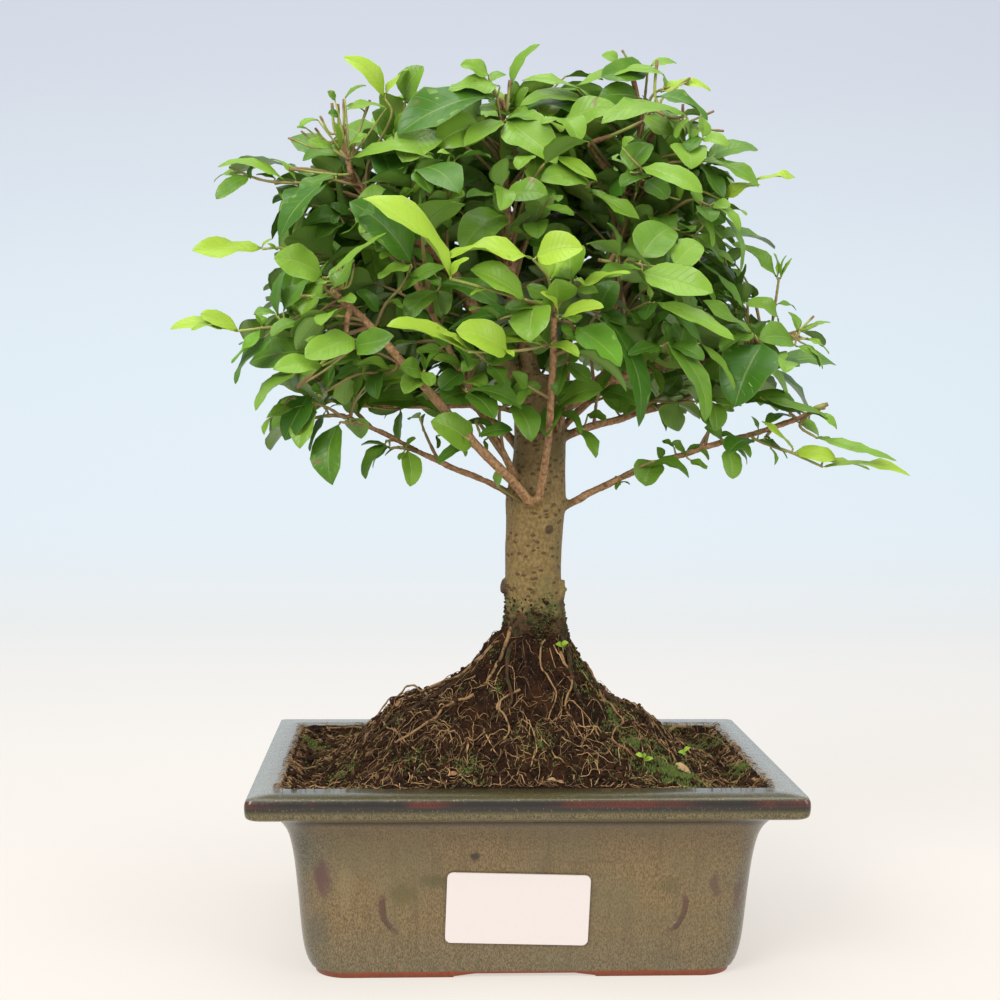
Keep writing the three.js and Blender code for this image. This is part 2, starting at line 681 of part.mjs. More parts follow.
// The leaf that one try proposes for one place on a spray.
function proposeLeaf(index, slot, attempt) {
  const spray = sprays[index];
  const kind = kinds[spray[3]];
  const aim = spray[4]?.[slot];
  const { curve, leafy } = twigOf(spray);
  const draw = sequence(index * 4001 + slot * 101 + attempt * 7 + 11);
  const pair = slot >> 1;
  const side = slot % 2;
  const share = leafy + (1 - leafy) * (habit.firstPair + (habit.pairRun * pair) / (kind.pairs - 1));
  const base = curve.getPoint(share);
  const along = curve.getTangent(share);
  const [across, upward] = acrossOf(along);
  const placed = (pair % 2) * habit.pairTurn + side * Math.PI + index * habit.sprayTurn;
  const turn = placed + (draw() - 0.5) * 2 * (habit.loose + habit.looser * attempt);
  const last = pair === kind.pairs - 1;
  const splay = (last ? habit.lastSplay : habit.splay) + (draw() - 0.5) * habit.splayRange;
  const shrink = 1 - habit.shrink * attempt;
  let length = kind.length * (habit.length[0] + habit.length[1] * draw()) * shrink;
  let line = along
    .clone()
    .multiplyScalar(Math.cos(splay))
    .addScaledVector(across, Math.sin(splay) * Math.cos(turn))
    .addScaledVector(upward, Math.sin(splay) * Math.sin(turn));
  line.z -= habit.droop;
  if (aim) {
    line = vector(draw() - 0.5, draw() - 0.5, draw() - 0.5).multiplyScalar(2 * attempt);
    line.add(vector(...aim)).sub(base);
    length = line.length() * shrink;
  }
  line.normalize();
  const outward = vector(base.x - trunkFoot[0], base.y, 0).normalize();
  const face = vector(draw() - 0.5, draw() - 0.5, draw() - 0.5)
    .multiplyScalar(habit.tilt)
    .addScaledVector(outward, habit.outward)
    .addScaledVector(along, -habit.backward);
  face.z += habit.upward;
  face.addScaledVector(line, -face.dot(line));
  if (face.length() < 0.25) face.addScaledVector(across, 0.8);
  face.addScaledVector(line, -face.dot(line)).normalize();
  const half = length * kind.slim * 0.5 * (habit.width[0] + habit.width[1] * draw());
  const arch = habit.arch[0] + habit.arch[1] * draw();
  const fold = habit.fold[0] + habit.fold[1] * draw();
  const wave = (draw() - 0.5) * habit.wave * length;
  return { base, line, face, length, half, arch, fold, wave };
}

const bulk = (body) => {
  const { min, max } = body.boundingBox();
  return new THREE.Box3(vector(...min), vector(...max));
};
const meets = (a, b) => a.box.intersectsBox(b.box) && !a.body.intersect(b.body).isEmpty();
const withBox = (body) => ({ body, box: bulk(body) });

// Grows every spray, one leaf place at a time over the whole crown, and keeps each leaf that is clear
// of the wood, of the other twigs and of every leaf before it.
function growSprays(tree) {
  const twigs = sprays.map((spray) => {
    const { curve, plane, foot } = twigOf(spray);
    return withBox(stem(curve, twigRadius, 3, 2, foot, plane));
  });
  const wood = withBox(tree);
  const leaves = sprays.map(() => []);
  const mostSlots = Math.max(...Object.values(kinds).map((kind) => kind.pairs)) * 2;
  for (let slot = 0; slot < mostSlots; slot++) {
    sprays.forEach((spray, index) => {
      if (slot >= kinds[spray[3]].pairs * 2) return;
      for (let attempt = 0; attempt < triesPerLeaf; attempt++) {
        const leaf = proposeLeaf(index, slot, attempt);
        const roomy = withBox(leafSolid(leaf, blade + 2 * clearance, clearance, 0));
        const ownRoomy = withBox(leafSolid(leaf, blade + 2 * clearance, clearance, ownSkip));
        const clear =
          !meets(roomy, wood) &&
          !twigs.some((twig, other) => other !== index && meets(roomy, twig)) &&
          !leaves.some((set, other) =>
            set.some((grown) => meets(other === index ? ownRoomy : roomy, grown)),
          );
        if (clear) {
          leaves[index].push(withBox(leafSolid(leaf, blade, 0, 0)));
          return;
        }
      }
    });
  }
  return twigs.map((twig, index) =>
    leaves[index].reduce((spray, leaf) => spray.add(leaf.body), twig.body),
  );
}

// Naming, colours and assembly

function meshOf(body, name, material) {
  const { numProp, vertProperties, triVerts } = body.getMesh();
  const positions = [];
  for (let i = 0; i < vertProperties.length; i += numProp) {
    positions.push(...vertProperties.subarray(i, i + 3));
  }
  const geometry = new THREE.BufferGeometry();
  geometry.setAttribute("position", new THREE.Float32BufferAttribute(positions, 3));
  geometry.setIndex(new THREE.BufferAttribute(triVerts, 1));
  geometry.computeVertexNormals();
  const mesh = new THREE.Mesh(geometry, material);
  mesh.name = name;
  return mesh;
}

const finish = (color, roughness) =>
  new THREE.MeshStandardMaterial({ color, roughness, metalness: 0 });
const glaze = finish(0x7c7460, 0.25);
const paper = finish(0xf4f0ee, 0.8);
const plastic = finish(0x1c1f1d, 0.6);
const earth = finish(0x2c2018, 1);
const bark = finish(0x9a8a68, 0.85);

const tree = makeTree();
const labelMesh = makeLabel();
labelMesh.name = "label";
labelMesh.material = paper;

const plant = new THREE.Group();
plant.add(meshOf(makePot(), "pot", glaze));
plant.add(labelMesh);
plant.add(meshOf(makeDrainMesh(-drainSpread), "drain_mesh_left", plastic));
plant.add(meshOf(makeDrainMesh(drainSpread), "drain_mesh_right", plastic));
plant.add(meshOf(makeSoil([makeRootedTrunk(seatGap)]), "soil", earth));
plant.add(meshOf(tree, "trunk_roots_and_limbs", bark));
growSprays(tree).forEach((body, index) => {
  const [limb, , , kind] = sprays[index];
  const number = String(index + 1).padStart(2, "0");
  const name = `spray_${number}_${limb}_${kind}`;
  plant.add(meshOf(body, name, finish(kinds[kind].green, 0.45)));
});
plant.position.set(...toOrigin);

const bonsai = new THREE.Group();
bonsai.add(plant);

export default bonsai;
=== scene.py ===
"""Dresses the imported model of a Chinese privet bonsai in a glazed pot.

Shapes are worked out in millimetres round the middle of the pot, x to the right, y away from the front
and z up, and are moved to the model's own place, in metres, when a mesh is made.
"""

import math

import bpy
import numpy as np
from mathutils import Matrix, Vector, noise
from mathutils.kdtree import KDTree


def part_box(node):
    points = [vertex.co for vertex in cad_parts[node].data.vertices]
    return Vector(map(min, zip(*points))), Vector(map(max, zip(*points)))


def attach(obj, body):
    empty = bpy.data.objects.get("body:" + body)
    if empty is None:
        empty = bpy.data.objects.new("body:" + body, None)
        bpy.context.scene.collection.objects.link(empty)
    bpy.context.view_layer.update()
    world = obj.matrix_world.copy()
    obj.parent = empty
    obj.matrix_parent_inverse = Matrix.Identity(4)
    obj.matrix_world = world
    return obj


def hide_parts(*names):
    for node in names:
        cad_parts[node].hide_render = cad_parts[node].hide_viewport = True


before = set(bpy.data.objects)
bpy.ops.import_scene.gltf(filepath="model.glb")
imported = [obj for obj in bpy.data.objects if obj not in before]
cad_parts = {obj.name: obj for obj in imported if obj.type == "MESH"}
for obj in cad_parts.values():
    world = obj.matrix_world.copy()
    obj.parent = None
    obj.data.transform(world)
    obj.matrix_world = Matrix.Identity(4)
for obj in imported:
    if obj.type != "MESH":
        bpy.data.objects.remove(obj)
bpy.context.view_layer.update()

# The middle of the pot in the model's frame, in millimetres.
pot_low, pot_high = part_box("pot")
MIDDLE = np.array([(pot_low.x + pot_high.x) * 500, (pot_low.y + pot_high.y) * 500, 0])

# The pot. A row of its walls is how far they stand in from the rim's edge at the sides, their height, the
# radius of their corners, and how far they stand in at the front and back.
RIM_HALF = (77, 58.5)
RIM_TOP = 54.5
DRAIN_SPREAD = 34
DRAIN_RADIUS = 6
POT_OUTSIDE = [
    (18, 0, 9, 15.6), (17.7, 1.5, 9, 15.4), (16.7, 1.8, 9, 15.2), (15.5, 3.6, 10, 15), (14.3, 8.5, 10, 14.5),
    (12.9, 23, 10, 13.3), (11.6, 35, 9.5, 12), (10.1, 41.5, 9, 10.4), (7.6, 45.6, 8, 7.8),
    (5.2, 47.4, 6, 5.2), (1.6, 47.9, 2.6, 1.6), (0.3, 48.8, 2.2, 0.3), (0, 50.4, 2, 0), (0, 52.6, 2, 0),
    (0.5, 54, 2, 0.5),
]
POT_INSIDE = [
    (8.2, 54.5, 3, 11.6), (9, 53.2, 3, 12.4), (12, 47, 5, 13.4), (17, 41, 8, 17), (20.4, 13, 10, 20.4),
    (23, 9.5, 10, 23),
]
# Smears of the glaze on the front wall: x and z, half width and height, strength and tint.
GLAZE_SMEARS = [
    ((-56.5, 29), (2.6, 7), 0.8, (0.075, 0.025, 0.03)),
    ((-50, 26), (2.6, 8), 0.5, (0.23, 0.17, 0.08)),
    ((-34, 24.5), (4.4, 4.5), 0.65, (0.085, 0.07, 0.012)),
    ((-26, 28), (5.5, 2.2), 0.6, (0.06, 0.055, 0.014)),
    ((-14.2, 35.2), (2, 1.4), 0.95, (0.015, 0.01, 0.008)),
    ((40, 27), (5, 2.6), 0.45, (0.075, 0.07, 0.02)),
    ((30, 24), (4, 4), 0.35, (0.14, 0.12, 0.05)),
    ((53, 27), (1.6, 5), 0.7, (0.075, 0.03, 0.03)),
    ((60, 24), (1.8, 7), 0.6, (0.07, 0.03, 0.035)),
    ((-58, 14), (4, 6), 0.45, (0.06, 0.065, 0.05)),
    ((20, 33.8), (13, 0.8), 0.4, (0.075, 0.055, 0.025)),
    ((-48, 42), (2.5, 3), 0.3, (0.06, 0.045, 0.025)),
]
# The soil: its half sides, its height at the rim, the low heap that it makes, and the steep hill on the
# heap, which falls away from its foot, faster on its right, and is cut to a cone at the trunk.
SOIL_HALF = (68.3, 46.4)
SOIL_EDGE = 53.2
SOIL_STEP = 0.66
SOIL_CORNER = 3.0
# Below its edge: how far it stands in from the rim's edge, how high, and how far in at the front and back.
SOIL_BELOW = [(10.2, 51.4, 13.3), (12.5, 47, 13.9), (18.5, 41, 18.5), (23, 12, 23), (25, 9.8, 25)]
HEAP = 9
HILL_FOOT = (4.5, 0)
HILL_HIGH = 62
HILL_FALL = 16
HILL_RIGHT = 1.2
HILL_NECK = 38
# Low heaps at the sides: where, how wide and how high.
SIDE_HEAPS = [(-38, 18, 4), (50, 12, 2.5)]
# How many of each lie on the soil, cling to the trunk's foot or cross the soil's edge. Some are tried in
# places where they have no room, and are left out.
CRUMBS = 2400
COLLAR_CRUMBS = 1000
FEEDERS = 3000
EDGE_FEEDERS = 420
MOSS_SHOOTS = 11000
COLLAR_MOSS = 2600
# The trunk: the middle, height and radius of its rings, from inside the soil to the fork of the leaders.
TRUNK_FOOT = (4.5, 0)
COLLAR_LOW = 88
TRUNK_RINGS = [
    (5, 0.5, 42, 7), (5, 0, 78, 10.5), (5, 0, 90, 10.2), (4.8, 0, 97, 9.1), (4.4, 0, 104, 8.6),
    (4.2, 0, 114, 8.5), (4.7, 0, 125, 8.7), (5, 0, 132, 9.1), (5.6, 0.3, 140, 8.3), (6.2, 0.6, 150, 7.8),
    (5.8, 0.8, 160, 7.5), (5.4, 1, 166, 6.3), (5.2, 1, 170, 4),
]
# Each limb's line, and its radius at each end in the plain solid.
LIMBS = {
    "low_left": ([
        (2, 0, 130), (-6, -3, 135.5), (-24, -8, 143), (-39, -14, 151), (-52, -20, 157),
    ], (1.9, 1.2)),
    "front_left": ([
        (4, -2, 127), (2, -9, 132), (-14, -20, 149), (-29, -26, 165), (-44, -30, 182), (-53, -32, 190),
    ], (2.6, 1.8)),
    "inner_left": ([
        (4, -2, 133), (-3, -8, 141), (-7, -10, 149), (-18, -12, 169), (-27, -14, 187), (-34, -15, 199),
    ], (2.2, 1.4)),
    "front_post": ([(5, -3, 127), (5, -10, 133), (7, -20, 152), (7, -32, 177), (7, -35, 186)], (2.1, 1.7)),
    "side_post": ([(9, -3, 146), (12, -10, 158), (13, -22, 184)], (1.3, 1.1)),
    "low_right": ([
        (8, 0, 127), (15, -1, 131), (28, -3, 138), (42, -5, 144), (60, -8, 150), (81, -12, 157),
        (89, -14, 161),
    ], (2.1, 1.3)),
    "right": ([(8, 1, 149), (18, 2, 153), (31, 4, 157), (51, 8, 163), (63, 10, 169)], (2.3, 1.6)),
    "right_fork": ([
        (18, 2, 163), (27, 2, 167), (40, 2, 172), (55, 0, 174), (66, -2, 177), (76, -4, 181),
    ], (2.2, 1.5)),
    "left_level": ([(4, 3, 155), (-3, 6, 159), (-32, 12, 160), (-52, 11, 160)], (1.6, 1.2)),
    "leader_left": ([
        (4, 0, 160), (-3, 1, 170), (-10, 2, 178), (-15, 4, 190), (-25, 2, 205), (-42, -2, 217),
        (-50, -4, 226),
    ], (3.6, 1.8)),
    "leader_middle": ([(4, 1, 160), (3, 2, 172), (-2, 4, 192), (-5, 6, 223), (-6, 2, 243)], (3.8, 1.5)),
    "leader_right": ([
        (6, 1, 158), (16, 2, 163), (27, 3, 170), (31, 5, 182), (29, 6, 199), (30, 6, 217), (36, 4, 240),
    ], (3.8, 1.6)),
    "back": ([(5, 3, 138), (6, 14, 149), (4, 30, 166), (0, 44, 182), (-4, 50, 192)], (2.6, 1.5)),
    "back_left": ([(3, 3, 144), (-8, 16, 156), (-28, 29, 170), (-44, 36, 184)], (2.3, 1.4)),
    "back_right": ([(7, 3, 146), (18, 16, 158), (36, 28, 172), (50, 36, 184)], (2.3, 1.4)),
    "crown_back": ([(-3, 5, 200), (2, 18, 213), (4, 32, 230)], (1.8, 1.3)),
}
# How much slimmer the real limbs are than the plain solids', and the seed of their fine bends.
LIMB_SLIM = 0.64
LEADER_SLIM = 0.86
WANDER_SEED = 1
# The surface roots' bearing, reach and radius in the plain solid, how much slimmer the real ones are at
# each end, and how far along and how many radii above the soil each of their points is.
SURFACE_ROOTS = [
    (195, 58, 2.6), (245, 36, 2.2), (305, 34, 2.1), (345, 46, 2.3), (60, 36, 2.2), (125, 40, 2.1),
]
SURFACE_ROOT_SLIM = (0.56, 0.24)
ROOT_POINTS = [(0.1, -4), (0.22, -1.6), (0.38, -0.2), (0.58, 0.25), (0.78, 0.25), (1, -1)]
# Thick loose roots on the soil, as their radius at each end in the plain solid, how far they stand up in the
# middle, and pixels.
ROOT_SLIM = 0.46
LOOSE_ROOTS = [
    (1.3, 0.6, 0.6, [(500, 640), (470, 668), (436, 688), (400, 700), (360, 708), (322, 718)]),
    (0.8, 0.5, 2.2, [(430, 700), (412, 690), (392, 690), (374, 704)]),
    (1.5, 0.9, 0.5, [(519, 619), (507, 642), (497, 668), (487, 684)]),
    (1.2, 0.7, 0.5, [(584, 640), (590, 662), (600, 688), (608, 708)]),
    (1.1, 0.6, 0.6, [(474, 694), (444, 709), (428, 724), (402, 740), (378, 752)]),
    (1.6, 1.1, 0.9, [(640, 705), (656, 708), (676, 711), (694, 716)]),
    (0.7, 0.4, 1.2, [(545, 640), (540, 668), (556, 694), (548, 722)]),
    (0.8, 0.5, 1.0, [(520, 690), (500, 712), (510, 738), (492, 758)]),
    (0.6, 0.4, 1.4, [(600, 700), (622, 722), (612, 744), (636, 760)]),
    (0.7, 0.4, 0.9, [(350, 735), (372, 728), (398, 734), (420, 752)]),
    (0.6, 0.4, 1.0, [(690, 730), (712, 738), (730, 744), (744, 756)]),
    (0.9, 0.5, 0.7, [(560, 650), (572, 680), (566, 712), (584, 738)]),
]
# Moss cushions: the pixel of their middle, their reach in millimetres, how full and how tall they are.
CUSHIONS = [
    ((672, 777), 8, 3.4, 1.6), ((635, 745), 9, 1, 1), ((700, 748), 11, 1.2, 1), ((745, 760), 8, 1.2, 1.1),
    ((610, 715), 8, 0.5, 0.9), ((668, 709), 7, 0.8, 1), ((318, 748), 7, 1.3, 1), ((345, 772), 6, 1.2, 0.9),
    ((470, 770), 7, 0.4, 0.8), ((540, 745), 7, 0.35, 0.8), ((415, 762), 6, 0.4, 0.8),
    ((560, 620), 4, 0.6, 0.9), ((585, 675), 6, 0.5, 0.9), ((500, 690), 5, 0.3, 0.8),
]
# Seedlings: their pixel and height.
SEEDLINGS = [((643, 770), 4), ((563, 652), 2), ((686, 762), 3.5)]
# Fallen leaves: their pixel, length and bearing.
DRY_LEAVES = [
    ((552, 782), 2.8, 10), ((574, 779), 2, 80), ((560, 784), 2.6, 150), ((682, 772), 5, 170),
    ((398, 704), 4, 120), ((452, 776), 3.5, 200), ((330, 738), 3, 310), ((500, 708), 3.5, 260),
]
# Knobs and dead straps of wood on the trunk: their line, and their radius at each end.
TRUNK_KNOBS = [
    ([(-1.5, -2, 105.5), (-3.6, -2.6, 105.8), (-5.6, -3, 106.2)], (3.4, 2.2)),
    ([(6.6, -6.2, 123.6), (7.2, -8, 123.8), (7.6, -8.9, 123.9)], (1.9, 1.1)),
    ([(13.4, -4, 92), (13, -4.4, 98), (12.6, -4.6, 104), (13.2, -4.6, 108.5)], (1.1, 0.5)),
    ([(12.7, -4.4, 102), (13.4, -5, 104.5), (14.2, -5.4, 106)], (0.7, 0.4)),
    ([(0.4, -8.8, 92), (0.8, -8.4, 96), (2, -7.4, 100)], (1.3, 0.5)),
    ([(10.5, -7.4, 92), (9.8, -7, 95), (8.8, -6.4, 99)], (1.2, 0.5)),
]
# Dark places on the bark: where, and how far they reach.
DARK_SPOTS = [
    ((-5.2, -3, 105.5), 3.4), ((8.4, -8.4, 123.6), 1.9), ((12.8, -4, 101), 2.6), ((7, -35.4, 186.6), 2.2),
]

# Each leafy spray: its limb, how far along it, where its tip is, its kind, and the places that the tips
# of some of its leaves reach.
SPRAYS = [
    ("front_left", 1, (-81, -17, 184), "young", {2: (-102, -15, 183), 3: (-87, -20, 177)}),
    ("leader_left", 0.72, (-76, -12, 207), "young", {2: (-97, -10, 206)}),
    ("leader_left", 1, (-78, -9, 228), "mature", {4: (-91, -10, 221), 5: (-89, -10, 231)}),
    ("low_left", 1, (-64, -22, 155), "mature", {0: (-56, -22, 138), 4: (-74, -15, 154)}),
    ("low_left", 0.62, (-42, -19, 147), "small", {0: (-34, -18, 137), 2: (-47, -22, 140)}),
    ("front_left", 0.8, (-65, -26, 169), "mature"),
    ("left_level", 1, (-65, 9, 163), "mature"),
    ("inner_left", 1, (-56, -23, 211), "mature"),
    ("back_left", 0.7, (-63, 23, 182), "mature"),
    ("leader_left", 0.93, (-41, -2, 250), "young", {2: (-54, -2, 262), 3: (-33, 0, 260)}),
    ("leader_left", 0.86, (-56, 14, 233), "mature"),
    ("leader_middle", 0.86, (-22, -8, 244), "mature"),
    ("leader_middle", 1, (-4, 0, 256), "young", {2: (4, 0, 268), 3: (-19, 0, 261)}),
    ("leader_middle", 0.92, (13, 4, 247), "mature"),
    ("leader_right", 1, (34, -2, 252), "mature", {4: (24, 0, 266), 5: (44, 0, 265)}),
    ("leader_right", 0.91, (45, 5, 246), "young", {2: (56, 0, 256)}),
    ("leader_right", 0.83, (54, -6, 234), "mature", {4: (70, -4, 238)}),
    ("leader_right", 0.74, (61, -9, 225), "young", {2: (82, -8, 230), 3: (75, -12, 222)}),
    ("leader_right", 0.62, (59, 1, 211), "mature"),
    ("right_fork", 0.93, (77, 0, 198), "small"),
    ("right_fork", 1, (86, -9, 184), "small"),
    ("right_fork", 0.7, (74, -19, 175), "mature", {4: (61, -20, 162)}),
    ("low_right", 0.86, (89, -13, 149), "young", {2: (112, -10, 146), 3: (115, -12, 142)}),
    ("low_right", 0.7, (68, -16, 150), "small", {0: (62, -14, 139)}),
    ("low_right", 0.36, (41, -12, 145), "small", {0: (37, -14, 137)}),
    ("right", 1, (78, 13, 172), "mature"),
    ("right", 0.62, (52, -8, 162), "small"),
    ("front_post", 0.94, (-22, -52, 195), "young", {2: (-46, -56, 214), 3: (-14, -57, 202)}),
    ("front_post", 1, (0, -54, 199), "young", {2: (-22, -60, 202), 3: (13, -60, 204)}),
    ("front_post", 0.85, (-16, -55, 176), "young", {2: (-39, -58, 182), 3: (-12, -57, 186)}),
    ("side_post", 1, (14, -38, 184), "young", {2: (25, -48, 171), 3: (20, -50, 189)}),
    ("front_post", 0.72, (19, -44, 174), "mature", {4: (31, -46, 157)}),
    ("leader_right", 0.48, (36, -34, 204), "mature"),
    ("right_fork", 0.42, (46, -30, 180), "mature"),
    ("front_left", 0.52, (-22, -36, 156), "small"),
    ("front_left", 0.88, (-50, -48, 192), "mature"),
    ("inner_left", 0.8, (-30, -42, 209), "mature"),
    ("leader_middle", 0.6, (4, -34, 228), "mature"),
    ("leader_left", 0.66, (-30, -34, 232), "mature"),
    ("leader_right", 0.72, (36, -32, 232), "mature"),
    ("back", 1, (-4, 66, 202), "mature"),
    ("back", 0.75, (14, 60, 180), "mature"),
    ("back_left", 1, (-54, 50, 200), "mature"),
    ("back_right", 1, (60, 46, 200), "mature"),
    ("back_left", 0.6, (-36, 50, 172), "mature"),
    ("back_right", 0.62, (44, 50, 172), "mature"),
    ("crown_back", 0.88, (-24, 42, 232), "mature"),
    ("crown_back", 0.76, (26, 42, 234), "mature"),
    ("crown_back", 1, (3, 38, 247), "mature"),
    ("leader_left", 0.55, (-40, 34, 216), "mature"),
    ("leader_right", 0.66, (54, 30, 220), "mature"),
]
